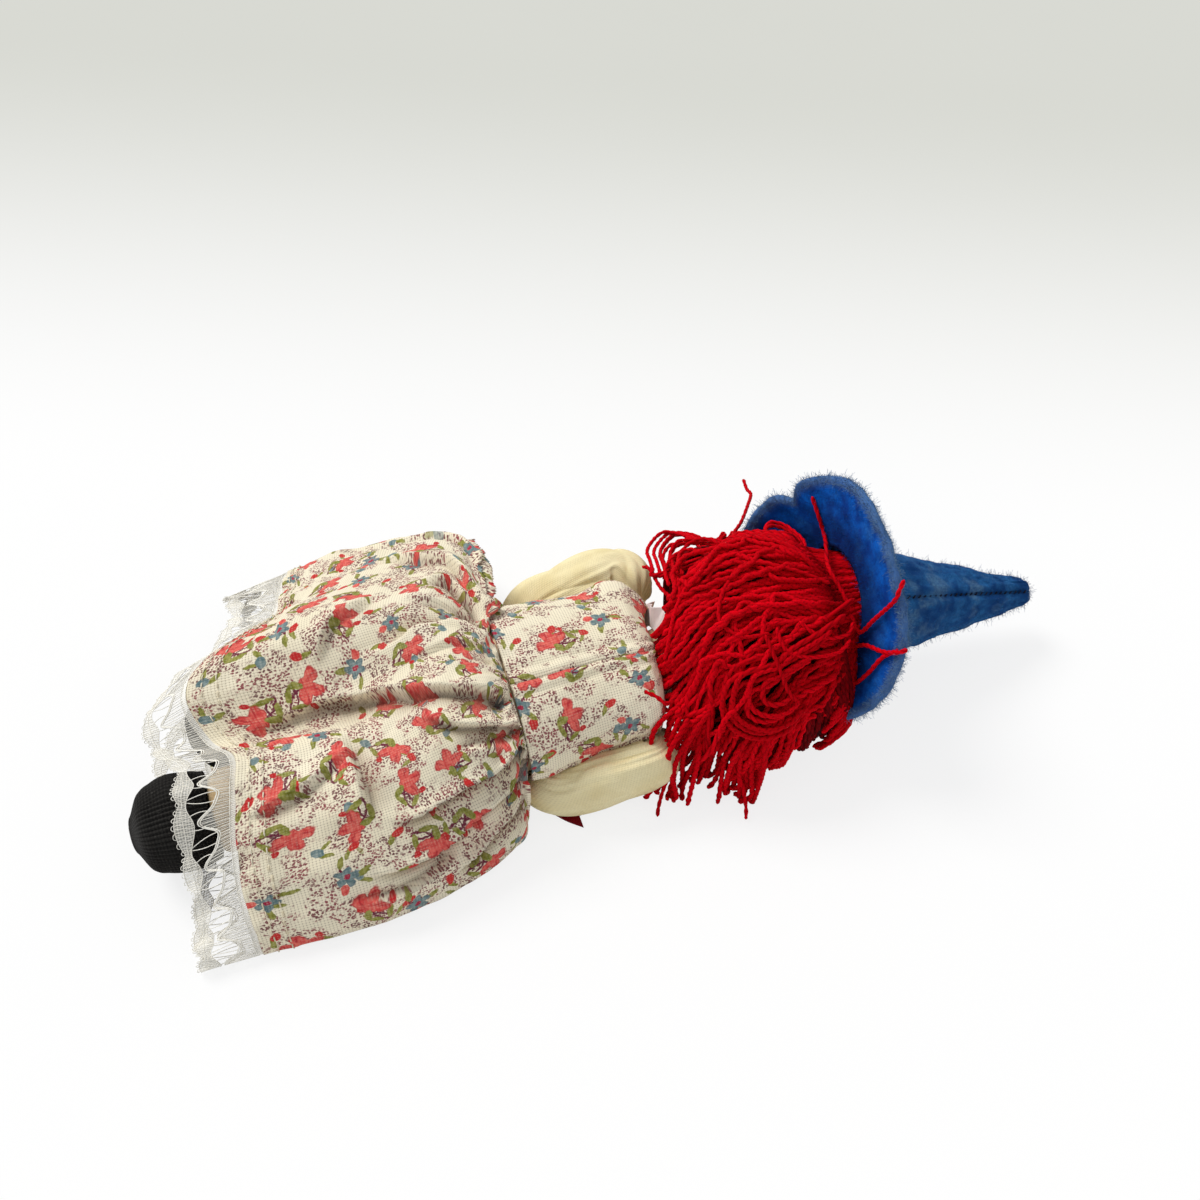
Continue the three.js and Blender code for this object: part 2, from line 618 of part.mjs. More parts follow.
// Skirt: a flattened tube whose upper side drapes over the legs and whose lower
// side lies on the table. Down runs from the waist to the hem; around is a share
// of the way round, starting at the near edge and going over the top.
function skirtPoint(down, around) {
  const turn = 2 * Math.PI * around;
  const top = around < 0.5;
  const straight = top ? 4 * around - 1 : 3 - 4 * around;
  const across = 0.5 * straight - 0.5 * Math.cos(turn);
  const place = (across + 1) / 2;
  const rows = (table) => spline(table.map((row) => spline(row, place)), down);
  const near = spline(skirtNearShares, down) * SKIRT_NEAR;
  const far = spline(skirtFarShares, down) * SKIRT_FAR;
  const edge = spline(skirtEdgeShares, down) * SKIRT_RISE;
  const fade = Math.sin(Math.PI * Math.min(1, down / gatherShare));
  const gather = GATHER_DEPTH * fade * Math.sin(GATHERS * Math.PI * (across + 1));
  const highest = rows(skirtTopShares) * SKIRT_RISE + gather;
  const lowest = Math.max(0, spline(skirtFloorShares, down)) * SKIRT_RISE;
  const power = 2 + 4 * THREE.MathUtils.smoothstep(down, 0, 0.33);
  const round = Math.sqrt(Math.max(0, 1 - Math.abs(across) ** power));
  const height = top ? edge + (highest - edge) * round : edge + (lowest - edge) * round;
  const along = -GAP - rows(skirtAlongShares) * SKIRT_LENGTH;
  return new THREE.Vector3(along, THREE.MathUtils.lerp(-near, far, place), Math.max(0, height - REST_CUT));
}

// A ring moved inwards by a wall, square to its outline seen from the end
function movedIn(ring, wall) {
  return ring.map((point, i) => {
    const before = ring[(i + ring.length - 1) % ring.length];
    const after = ring[(i + 1) % ring.length];
    const square = new THREE.Vector3(0, -(after.z - before.z), after.y - before.y).normalize();
    return point.clone().addScaledVector(square, -wall);
  });
}

function skirtRing(down) {
  return Array.from({ length: SKIRT_AROUND }, (_, k) => skirtPoint(down, k / SKIRT_AROUND));
}

function makeSkirt() {
  const outer = Array.from({ length: SKIRT_DOWN + 1 }, (_, i) => skirtRing(i / SKIRT_DOWN));
  const inner = outer.map((ring) => movedIn(ring, SKIRT_WALL));
  return sleeveBody(outer, inner, false);
}

// Lace: a net band that goes on from the hem, with a scalloped edge and two rows of holes
function lacePoint(k, out) {
  const around = k / SKIRT_AROUND;
  const hem = skirtPoint(1, around);
  const top = around < 0.5;
  const straight = top ? 4 * around - 1 : 3 - 4 * around;
  const place = (0.5 * straight - 0.5 * Math.cos(2 * Math.PI * around) + 1) / 2;
  const heading = THREE.MathUtils.degToRad(spline(laceHeadings, place));
  const droop = THREE.MathUtils.degToRad(top ? spline(laceDroops, place) : 0);
  const scallop = k % 2 === 0 ? 0 : LACE_SCALLOP;
  const width = GAP + (LACE_WIDTH - scallop * (out === 1)) * out;
  hem.x -= width * Math.cos(heading) * Math.cos(droop);
  hem.y += width * Math.sin(heading) * Math.cos(droop);
  hem.z = Math.max(0, hem.z - width * Math.sin(droop));
  return hem;
}

function makeLace() {
  const points = [];
  const faces = [];
  const around = Array.from({ length: SKIRT_AROUND }, (_, k) => k);
  const outerRows = laceRowShares.map((share) => around.map((k) => lacePoint(k, share)));
  const out = numbered(points, outerRows);
  const ins = numbered(points, outerRows.map((ring) => movedIn(ring, LACE_WALL)));
  const hole = (row, k) => (row === 1 && k % 2 === 0) || (row === 3 && k % 2 === 1);
  for (let row = 0; row + 1 < laceRowShares.length; row++) {
    for (let k = 0; k < SKIRT_AROUND; k++) {
      const n = (k + 1) % SKIRT_AROUND;
      const [a, b, c, d] = [out[row][k], out[row][n], out[row + 1][n], out[row + 1][k]];
      const [e, f, g, h] = [ins[row][k], ins[row][n], ins[row + 1][n], ins[row + 1][k]];
      if (hole(row, k)) {
        for (const [p, q, r, s] of [[a, b, e, f], [b, c, f, g], [c, d, g, h], [d, a, h, e]]) {
          faces.push([p, q, s], [p, s, r]);
        }
        continue;
      }
      faces.push([a, b, c], [a, c, d], [e, g, f], [e, h, g]);
    }
  }
  weave(faces, ins[0], out[0], true);
  weave(faces, out.at(-1), ins.at(-1), true);
  return bodyFrom(points, faces);
}

// Hat, in its own frame: X along the cone from the middle of its base
function coneOutline(wall) {
  return coneAlongShares.map((share) => new THREE.Vector2(
    THREE.MathUtils.lerp(CONE_RADIUS, TIP_RADIUS, share / coneAlongShares.at(-1)) - wall,
    share * CONE_LENGTH,
  ));
}

function makeCone() {
  const outer = coneOutline(0);
  const inner = coneOutline(FELT).slice(0, -1);
  const tip = tipRadiusShares.map((share, i) => new THREE.Vector2(
    TIP_RADIUS * share, CONE_LENGTH * tipAlongShares[i]));
  const apex = new THREE.Vector2(0, coneHollowShare * CONE_LENGTH);
  const profile = [apex, ...inner.reverse(), ...outer, ...tip];
  return turnedAlongX(profile.map((p) => new THREE.Vector2(p.x, p.y + GAP)), CONE_AROUND);
}

function makeStuffing() {
  const profile = coneOutline(FELT + GAP).slice(0, -1);
  const closed = [new THREE.Vector2(0, 0), ...profile, new THREE.Vector2(0, stuffingShare * CONE_LENGTH)];
  return turnedAlongX(closed, CONE_AROUND);
}

// Rings of the brim from its inner edge outwards, on a surface set back by a shift
function brimRings(shift, grown = 0) {
  return Array.from({ length: BRIM_STEPS + 1 }, (_, i) => Array.from({ length: BRIM_AROUND }, (_, k) => {
    const lean = THREE.MathUtils.degToRad(loopSpline(brimLeans, k / BRIM_AROUND));
    const step = (BRIM_WIDTH * loopSpline(brimWidthShares, k / BRIM_AROUND) + grown) / BRIM_STEPS;
    let radius = BRIM_INNER;
    let along = 0;
    for (let s = 0; s < i; s++) {
      const slope = lean * (0.5 + (s + 0.5) / BRIM_STEPS);
      radius += step * Math.cos(slope);
      along -= step * Math.sin(slope);
    }
    const tilt = lean * (0.5 + i / BRIM_STEPS);
    const turn = (2 * Math.PI * k) / BRIM_AROUND;
    radius -= shift * Math.sin(tilt);
    along -= shift * Math.cos(tilt);
    return new THREE.Vector3(along, radius * Math.sin(turn), radius * Math.cos(turn));
  }));
}

function makeBrim() {
  return sleeveBody(brimRings(0), brimRings(FELT), false);
}

function toHatFrame(geometry) {
  return geometry.clone().applyMatrix4(hatGroup.matrix.clone().invert());
}

// Hair: a cap of yarn over the back of the head, and a lock that lies on each side
function hairCap(grown) {
  const wrap = headInPlace(GAP + HAIR_WALL + grown);
  const low = new THREE.Vector3(headMiddle.x - OVERRUN, -OVERRUN, -OVERRUN);
  const lower = HEAD_HEIGHT - HAIR_DOWN - grown;
  const below = block(low, new THREE.Vector3(headMiddle.x + OVERRUN, OVERRUN, lower));
  const behind = block(low, new THREE.Vector3(headMiddle.x - HAIR_NECK_EDGE - grown, OVERRUN, 2 * OVERRUN));
  return cut(wrap, below, behind);
}

// The room that the hat takes: all that lies past the underside of its brim
function hatSpace() {
  const grown = GAP * 2;
  const rings = brimRings(FELT + grown, grown);
  const rim = brimRings(-grown, grown).at(-1);
  const far = rim.map((point) => new THREE.Vector3(OVERRUN, point.y, point.z));
  return skin([...rings, rim, far]).applyMatrix4(hatGroup.matrix);
}

function makeHairBack() {
  return cut(hairCap(0), headInPlace(GAP), hatSpace());
}

function makeLock(side) {
  const right = side < 0 ? 1 : 0;
  const centre = new THREE.Vector3(
    headMiddle.x - HAIR_NECK_EDGE + LOCK_LENGTH / 2 - right * RIGHT_LOCK_DRAW,
    headMiddle.y + side * (LOCK_OUT + right * RIGHT_LOCK_SPREAD),
    LOCK_HEIGHT / 2 - REST_CUT,
  );
  const table = block(
    new THREE.Vector3(0, -OVERRUN, -OVERRUN), new THREE.Vector3(headMiddle.x + OVERRUN, OVERRUN, 0));
  const sizes = new THREE.Vector3(LOCK_LENGTH / 2, LOCK_WIDTH / 2, LOCK_HEIGHT / 2);
  const lump = egg(sizes, centre, LUMP_AROUND, 10);
  return cut(lump, hairCap(GAP), headInPlace(GAP), hatSpace(), table);
}

// Materials
const finish = (color, roughness) => new THREE.MeshStandardMaterial({ color, roughness, metalness: 0 });
const calico = () => finish('#e6dcc6', 0.9);
const muslin = () => finish('#e7dcae', 0.9);
const skinCloth = () => finish('#e3c9a4', 0.92);
const legCloth = () => finish('#cdb38a', 0.92);
const knit = () => finish('#1b1a1c', 0.95);
const yarn = () => finish('#a8091c', 0.85);
const felt = () => finish('#2f5f9c', 1);
const satin = () => finish('#7e1020', 0.5);

function piece(name, geometry, material) {
  const mesh = new THREE.Mesh(geometry, material);
  mesh.name = name;
  return mesh;
}

const hatGroup = new THREE.Group();
hatGroup.position.set(headMiddle.x + HAT_ALONG, -HAT_SIDEWAYS, HAT_HEIGHT);
hatGroup.rotation.set(0, HAT_DROOP, HAT_YAW, 'ZYX');
hatGroup.updateMatrix();
const headForHat = toHatFrame(headInPlace(GAP));
hatGroup.add(
  piece('hat_cone', makeCone(), felt()),
  piece('hat_stuffing', cut(makeStuffing(), headForHat), finish('#efece4', 1)),
  piece('hat_brim', cut(makeBrim(), headForHat), felt()),
);

const headGroup = new THREE.Group();
headGroup.add(
  piece('head', headInPlace(0), skinCloth()),
  piece('nose', makeNose(), skinCloth()),
  piece('eye_left', makeEye(1), finish('#141414', 0.3)),
  piece('eye_right', makeEye(-1), finish('#141414', 0.3)),
  piece('hair_back', makeHairBack(), yarn()),
  piece('hair_left', makeLock(1), yarn()),
  piece('hair_right', makeLock(-1), yarn()),
  hatGroup,
);

const limbGroup = new THREE.Group();
for (const [side, word] of [[1, 'left'], [-1, 'right']]) {
  limbGroup.add(
    piece(`arm_${word}`, makeArm(side), skinCloth()),
    piece(`sleeve_${word}`, makeSleeve(side), muslin()),
    piece(`leg_${word}`, makeLeg(side), legCloth()),
    piece(`shoe_${word}`, makeShoe(side), knit()),
    piece(`ribbon_loop_${word}`, makeLoop(side), satin()),
  );
}

const doll = new THREE.Group();
doll.add(
  piece('torso', makeTorso(), skinCloth()),
  piece('neck', makeNeck(), skinCloth()),
  piece('bodice_back_left', makeBodicePanel(-20, 78), calico()),
  piece('bodice_back_right', makeBodicePanel(-110, -20), calico()),
  piece('bodice_front', makeBodicePanel(78, 250), calico()),
  piece('collar', makeCollar(), finish('#e9dedb', 0.9)),
  piece('skirt', makeSkirt(), calico()),
  piece('lace_trim', makeLace(), finish('#f1eee2', 0.8)),
  piece('ribbon_knot', makeKnot(), satin()),
  piece('ribbon_tail_left', makeTail(1, TAIL_HIDDEN_REACH, BOW_ALONG), satin()),
  piece('ribbon_tail_right', makeTail(-1, TAIL_REACH, TAIL_RISE), satin()),
  headGroup,
  limbGroup,
);

// The origin is at the middle of the doll's outline on the table
const extent = new THREE.Box3().setFromObject(doll, true);
const middle = extent.getCenter(new THREE.Vector3());
doll.position.set(-middle.x, -middle.y, -extent.min.z);

const model = new THREE.Group();
model.add(doll);
export default model;
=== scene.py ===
# %% [markdown]
# # A cloth witch doll that lies face down
#
# The doll is sewn from calico, cream cotton, knit, lace, yarn and felt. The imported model
# holds the plain solids and the joints. This file dresses them: each soft solid is
# replaced by a finer surface that fills the same space, with the folds, threads and
# fibres that the real cloth has.

# %% Load the frame
import json
import math

import bpy
import numpy as np
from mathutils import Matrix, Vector

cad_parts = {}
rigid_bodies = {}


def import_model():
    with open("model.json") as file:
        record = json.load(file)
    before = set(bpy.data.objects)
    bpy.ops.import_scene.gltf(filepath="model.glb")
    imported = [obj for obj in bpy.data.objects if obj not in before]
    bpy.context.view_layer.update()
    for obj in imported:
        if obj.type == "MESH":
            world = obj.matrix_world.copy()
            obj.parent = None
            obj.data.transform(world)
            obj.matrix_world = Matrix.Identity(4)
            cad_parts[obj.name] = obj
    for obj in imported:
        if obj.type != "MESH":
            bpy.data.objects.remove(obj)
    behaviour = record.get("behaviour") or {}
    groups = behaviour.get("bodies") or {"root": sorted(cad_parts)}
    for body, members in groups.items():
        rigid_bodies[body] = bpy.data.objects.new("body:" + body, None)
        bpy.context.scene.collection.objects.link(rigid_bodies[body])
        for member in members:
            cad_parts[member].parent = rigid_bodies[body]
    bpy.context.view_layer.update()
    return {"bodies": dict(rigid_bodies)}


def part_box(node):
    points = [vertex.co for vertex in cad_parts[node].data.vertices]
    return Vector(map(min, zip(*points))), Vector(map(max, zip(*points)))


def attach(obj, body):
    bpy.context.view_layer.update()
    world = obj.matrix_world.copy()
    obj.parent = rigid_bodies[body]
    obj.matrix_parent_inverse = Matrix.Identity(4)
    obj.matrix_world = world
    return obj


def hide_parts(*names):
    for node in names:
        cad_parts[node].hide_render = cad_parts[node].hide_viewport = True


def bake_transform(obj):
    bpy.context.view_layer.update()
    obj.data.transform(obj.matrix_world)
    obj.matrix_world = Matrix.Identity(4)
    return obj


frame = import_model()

print("bodies:", ", ".join(frame["bodies"]))

# %% [markdown]
# ## One place to measure from
#
# A dressmaker measures a doll from its waist seam. All places below are millimetres from
# the middle of that seam, on the table: x runs to the tip of the hat, y to the doll's
# left side, z up. Only `at` turns them into metres of the frame.

# %% The waist seam
MM = 0.001
HIP_LENGTH = 18.2
knot_low, knot_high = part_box("ribbon_knot")
WAIST = np.array([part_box("torso")[0][0] + MM * HIP_LENGTH, (knot_low[1] + knot_high[1]) / 2, 0])


def at(points):
    """Waist millimetres to metres of the frame: the waist's place plus a thousandth of each."""
    return WAIST + MM * np.asarray(points, float)


print("waist at", WAIST.round(4))

# %% [markdown]
# ## Smooth curves through a few chosen values
#
# A designer draws a sleeve or a hem with a few points and lets a curve run through them.
# A Catmull-Rom spline does the same: it passes through every value, so the tables stay
# short and can be read.

# %% Curves
rng = np.random.default_rng(7)
TAU = 2 * math.pi
WAVE_COUNT = 7


def blend_four(a, b, c, d, f):
    """Catmull-Rom: the cubic from b to c whose slopes are half of c - a and of d - b."""
    return b + f / 2 * (c - a + f * (2 * a - 5 * b + 4 * c - d + f * (3 * (b - c) + d - a)))


def spline(values, share, loop=False):
    """Value at a share of the way through evenly spaced values, which may be points."""
    values = np.asarray(values, float)
    share = np.asarray(share, float)
    last = len(values) if loop else len(values) - 1
    place = (share - np.floor(share) if loop else np.clip(share, 0, 1)) * last
    low = np.minimum(np.floor(place).astype(int), last - 1)
    f = place - low
    if values.ndim > 1:
        f = f[..., None]
    at_step = [low + step for step in (-1, 0, 1, 2)]
    wrap = (lambda i: i % last) if loop else (lambda i: np.clip(i, 0, last))
    return blend_four(*(values[wrap(i)] for i in at_step), f)


def spline_table(table, down, place):
    """A table read both ways: each row along place, then those results along down."""
    rows = np.stack([spline(row, place) for row in table])
    step = np.clip(down, 0, 1) * (len(rows) - 1)
    low = np.minimum(np.floor(step).astype(int), len(rows) - 2)
    pick = [np.take_along_axis(rows, np.clip(low + k, 0, len(rows) - 1)[None], 0)[0]
            for k in (-1, 0, 1, 2)]
    return blend_four(*pick, step - low)


def smoothstep(x, low, high):
    """0 below low, 1 above high, and an S curve between."""
    t = np.clip((np.asarray(x, float) - low) / (high - low), 0, 1)
    return t * t * (3 - 2 * t)


def lerp(a, b, t):
    """a when t is 0, b when t is 1."""
    return a + (b - a) * t


def smooth_ways(ways, steps):
    """Each way, a few places long, as a curve of evenly spaced steps."""
    return np.stack([spline(way, np.linspace(0, 1, steps)) for way in ways])


def bump(x, middle, width):
    """A bell of height 1 round a middle."""
    return np.exp(-((x - middle) / width) ** 2)


def grid(down, across):
    """Two arrays with a row for each value of down and a column for each value of across."""
    return np.meshgrid(down, across, indexing="ij")


def angles(count):
    """Evenly spaced angles, once round a circle."""
    return np.arange(count) * TAU / count


def unit(vectors):
    """The same directions with length 1."""
    return vectors / np.maximum(np.linalg.norm(vectors, axis=-1, keepdims=True), 1e-9)


def lathe(along, radius, turn, centre=(0, 0)):
    """A profile turned about a long axis: centre + radius x (sin, cos) of the angle."""
    return np.stack(np.broadcast_arrays(
        along, centre[0] + radius * np.sin(turn), centre[1] + radius * np.cos(turn)), -1)


def keep_above(points, height):
    """Lifts every point that lies lower than a height in millimetres up to it."""
    points[..., 2] = np.maximum(points[..., 2], height)


def waves(x, y, seed, size):
    """Smooth uneven noise from -1 to 1: a sum of sines of x and y in random directions,
    with wavelengths round size."""
    draw = np.random.default_rng(seed)
    total = np.zeros(np.broadcast(x, y).shape)
    for _ in range(WAVE_COUNT):
        angle, phase, stretch = draw.uniform(0, TAU, 2).tolist() + [draw.uniform(0.7, 1.6)]
        way = x * math.cos(angle) + y * math.sin(angle)
        total = total + np.sin(TAU / (size * stretch) * way + phase)
    return total / math.sqrt(WAVE_COUNT) / 1.6


print("a curve through 0, 1, 0 at its middle:", spline([0, 1, 0], 0.5))

# %% [markdown]
# ## Surfaces from grids of points
#
# Cloth is a sheet, so each piece is a grid: rows one way, columns the other, with a face
# in every cell. Arrays are worked out whole with numpy, which is fast and leaves the
# formula visible. A tube is a grid whose last column meets its first.

# %% From arrays to a mesh
def put_in_scene(name, data):
    """An object that shows a mesh, a light or a camera."""
    obj = bpy.data.objects.new(name, data)
    bpy.context.scene.collection.objects.link(obj)
    return obj


def add_mesh(name, points, face_sets, uv=None, marks=None):
    """A mesh object from points in metres, arrays of faces with equal corners, UVs for each
    corner and named values for each point."""
    mesh = bpy.data.meshes.new(name)
    corners = np.concatenate([faces.ravel() for faces in face_sets]).astype(np.int32)
    sizes = np.concatenate([np.full(len(faces), faces.shape[1]) for faces in face_sets])
    starts = np.cumsum(sizes) - sizes
    mesh.vertices.add(len(points))
    mesh.vertices.foreach_set("co", np.ascontiguousarray(points, np.float32).ravel())
    mesh.loops.add(len(corners))
    mesh.loops.foreach_set("vertex_index", corners)
    mesh.polygons.add(len(sizes))
    mesh.polygons.foreach_set("loop_start", starts.astype(np.int32))
    if uv is not None:
        layer = mesh.uv_layers.new(name="UVMap")
        layer.data.foreach_set("uv", np.ascontiguousarray(uv, np.float32).ravel())
    for key, values in (marks or {}).items():
        mark = mesh.attributes.new(key, "FLOAT", "POINT")
        mark.data.foreach_set("value", np.ascontiguousarray(values, np.float32).ravel())
    mesh.update()
    mesh.validate()
    mesh.shade_smooth()
    return put_in_scene(name, mesh)


def grid_faces(rows, cols, wrap_cols=False, wrap_rows=False):
    """Corner numbers of each cell of a grid, row by row."""
    i, j = grid(np.arange(rows - (not wrap_rows)), np.arange(cols - (not wrap_cols)))
    i2, j2 = (i + 1) % rows, (j + 1) % cols
    return np.stack([i * cols + j, i * cols + j2, i2 * cols + j2, i2 * cols + j], -1).reshape(-1, 4)


def grid_uv(u, v):
    """UV of each cell's corners, from u and v arrays that have one more column or row where
    the grid wraps."""
    a = np.stack([u, v], -1)
    return np.stack([a[:-1, :-1], a[:-1, 1:], a[1:, 1:], a[1:, :-1]], -2).reshape(-1, 2)


def faces_outward(points, faces, middle):
    """True if most of the faces look away from the middle point."""
    a, b, c = (points[faces[:, k]] for k in (0, 1, 2))
    flux = np.einsum("ij,ij->", np.cross(b - a, c - a), (a + c) / 2 - middle)
    return flux > 0


def surface(name, points, uv=None, wrap_cols=False, wrap_rows=False, middle=None, ends=False,
            marks=None):
    """A grid of waist millimetres as an object. Its faces look away from middle, and ends
    closes a tube's two open ends with a point in each one's centre."""
    rows, cols = points.shape[:2]
    flat = points.reshape(-1, 3)
    faces = grid_faces(rows, cols, wrap_cols, wrap_rows)
    middle = flat.mean(0) if middle is None else np.asarray(middle, float)
    right = faces_outward(flat, faces, middle)
    corner_uv = None if uv is None else grid_uv(*uv)
    if not right:
        faces = faces[:, ::-1]
        if corner_uv is not None:
            corner_uv = corner_uv.reshape(-1, 4, 2)[:, ::-1].reshape(-1, 2)
    sets = [faces]
    if ends:
        k = np.arange(cols)
        first, last = len(flat), len(flat) + 1
        flat = np.concatenate([flat, points[:1].mean(1), points[-1:].mean(1)])
        start = np.stack([(k + 1) % cols, k, np.full(cols, first)], -1)
        last_row = (rows - 1) * cols
        finish = np.stack([last_row + k, last_row + (k + 1) % cols, np.full(cols, last)], -1)
        for fan in (start, finish):
            sets.append(fan if right else fan[:, ::-1])
            if corner_uv is not None:
                corner_uv = np.concatenate([corner_uv, np.zeros((3 * cols, 2))])
    return add_mesh(name, at(flat), sets, corner_uv, marks)


def arc_uv(points, wrap_cols=False, u0=0.0, v0=0.0):
    """u and v in millimetres: the length along each row and the mean length down the columns,
    so that a print keeps its scale on the cloth."""
    cols = np.concatenate([points, points[:, :1]], 1) if wrap_cols else points
    across = np.linalg.norm(np.diff(cols, axis=1), axis=2)
    down = np.linalg.norm(np.diff(cols, axis=0), axis=2)
    width = across.sum(1).max()
    mean = across.mean(0)
    u = np.concatenate([[0], np.cumsum(mean)]) * width / mean.sum()
    v = np.concatenate([[0], np.cumsum(down.mean(1))])
    return np.broadcast_arrays(u0 + u, (v0 + v)[:, None])


def grid_normals(points, wrap_cols=False):
    """Unit normals: the cross product of the grid's slopes along its rows and columns."""
    down = np.gradient(points, axis=0)
    if wrap_cols:
        across = (np.roll(points, -1, 1) - np.roll(points, 1, 1)) / 2
    else:
        across = np.gradient(points, axis=1)
    return unit(np.cross(across, down))


def pushed(points, amount, middle, wrap_cols=False):
    """Each point moved outwards along the surface's normal by an amount in millimetres."""
    normal = grid_normals(points, wrap_cols)
    if np.einsum("ijk,ijk->", normal, points - np.asarray(middle)) < 0:
        normal = -normal
    return points + normal * amount[..., None]


def solidify(obj, wall):
    """Gives a sheet its thickness, inwards from the side that shows."""
    skin = obj.modifiers.new("wall", "SOLIDIFY")
    skin.thickness = wall * MM
    skin.offset = -1
    skin.use_even_offset = False
    skin.thickness_clamp = 1.0
    return obj


print("a cell of a grid:", grid_faces(2, 2)[0])

# %% [markdown]
# ## Threads
#
# Yarn, stitches and lace are threads, and all of them are a small section carried along a
# path. The section must not spin by itself, so each step turns the last frame just enough
# to stay square to the path. Many threads go through the same few array steps together.

# %% Carry a section along paths
def frames_along(paths):
    """For paths of shape (threads, steps, 3): unit sides and ups square to each path, each
    made from the one before it by taking out what lies along the new direction."""
    ahead = unit(np.gradient(paths, axis=1))
    side = np.zeros_like(paths)
    start = np.where(np.abs(ahead[:, 0, 2:3]) < 0.8, [[0, 0, 1.0]], [[0, 1.0, 0]])
    for step in range(paths.shape[1]):
        start = unit(start - ahead[:, step] * np.sum(start * ahead[:, step], 1, keepdims=True))
        side[:, step] = start
    return side, np.cross(ahead, side)


PLY_DEPTH = 0.22
TAPER_LENGTH = 0.4


def threads(name, paths, radius, sides=6, lobes=0, turns_per_mm=0.0, taper=True):
    """Closed tubes along paths of waist millimetres. The section's radius is the given one
    times 1 + the ply's depth x cos(lobes x angle), which turns along the thread as plied yarn
    does. A tapered thread narrows to a third at its ends."""
    paths = np.asarray(paths, float)
    count, steps = paths.shape[:2]
    side, up = frames_along(paths)
    length = np.concatenate([np.zeros((count, 1)), np.cumsum(
        np.linalg.norm(np.diff(paths, axis=1), axis=2), 1)], 1)
    angle = angles(sides)
    ply = np.cos(lobes * (angle - TAU * turns_per_mm * length[..., None]))
    reach = radius * (1 + (PLY_DEPTH if lobes else 0) * ply)
    if taper:
        share = np.minimum(length, length[:, -1:] - length)[..., None]
        reach = reach * (0.35 + 0.65 * smoothstep(share, 0, TAPER_LENGTH))
    ring = paths[:, :, None] + reach[..., None] * (
        np.cos(angle)[:, None] * side[:, :, None] + np.sin(angle)[:, None] * up[:, :, None])
    base = np.arange(count)[:, None, None] * steps * sides
    quads = (base + grid_faces(steps, sides, True)[None]).reshape(-1, 4)[:, ::-1]
    caps = np.stack([np.arange(sides), np.arange(sides)[::-1] + (steps - 1) * sides])
    caps = (base + caps[None]).reshape(-1, sides)
    values = {"along": np.repeat(length.ravel(), sides),
              "thread": np.repeat(rng.uniform(0, 1, count), steps * sides)}
    if lobes:
        values["groove"] = ply.ravel()
    return add_mesh(name, at(ring.reshape(-1, 3)), [quads, caps], None, values)


print("threads ready")

# %% [markdown]
# ## Shader maths as plain Python
#
# A printed cloth is arithmetic on the cloth's own coordinates. Wrapping a socket in a small
# class lets that arithmetic be written as expressions, and every operator adds one Math node.

# %% A wrapped socket
class Wire:
    """One value, colour or vector that flows between shader nodes."""

    def __init__(self, paint, socket):
        self.paint = paint
        self.socket = socket

    def math(self, operation, *others):
        return self.paint.math(operation, self, *others)

    def __add__(self, other):
        return self.math("ADD", other)

    def __sub__(self, other):
        return self.math("SUBTRACT", other)

    def __rsub__(self, other):
        return self.paint.math("SUBTRACT", other, self)

    def __mul__(self, other):
        return self.math("MULTIPLY", other)

    def __truediv__(self, other):
        return self.math("DIVIDE", other)

    def __rtruediv__(self, other):
        return self.paint.math("DIVIDE", other, self)

    __radd__ = __add__
    __rmul__ = __mul__


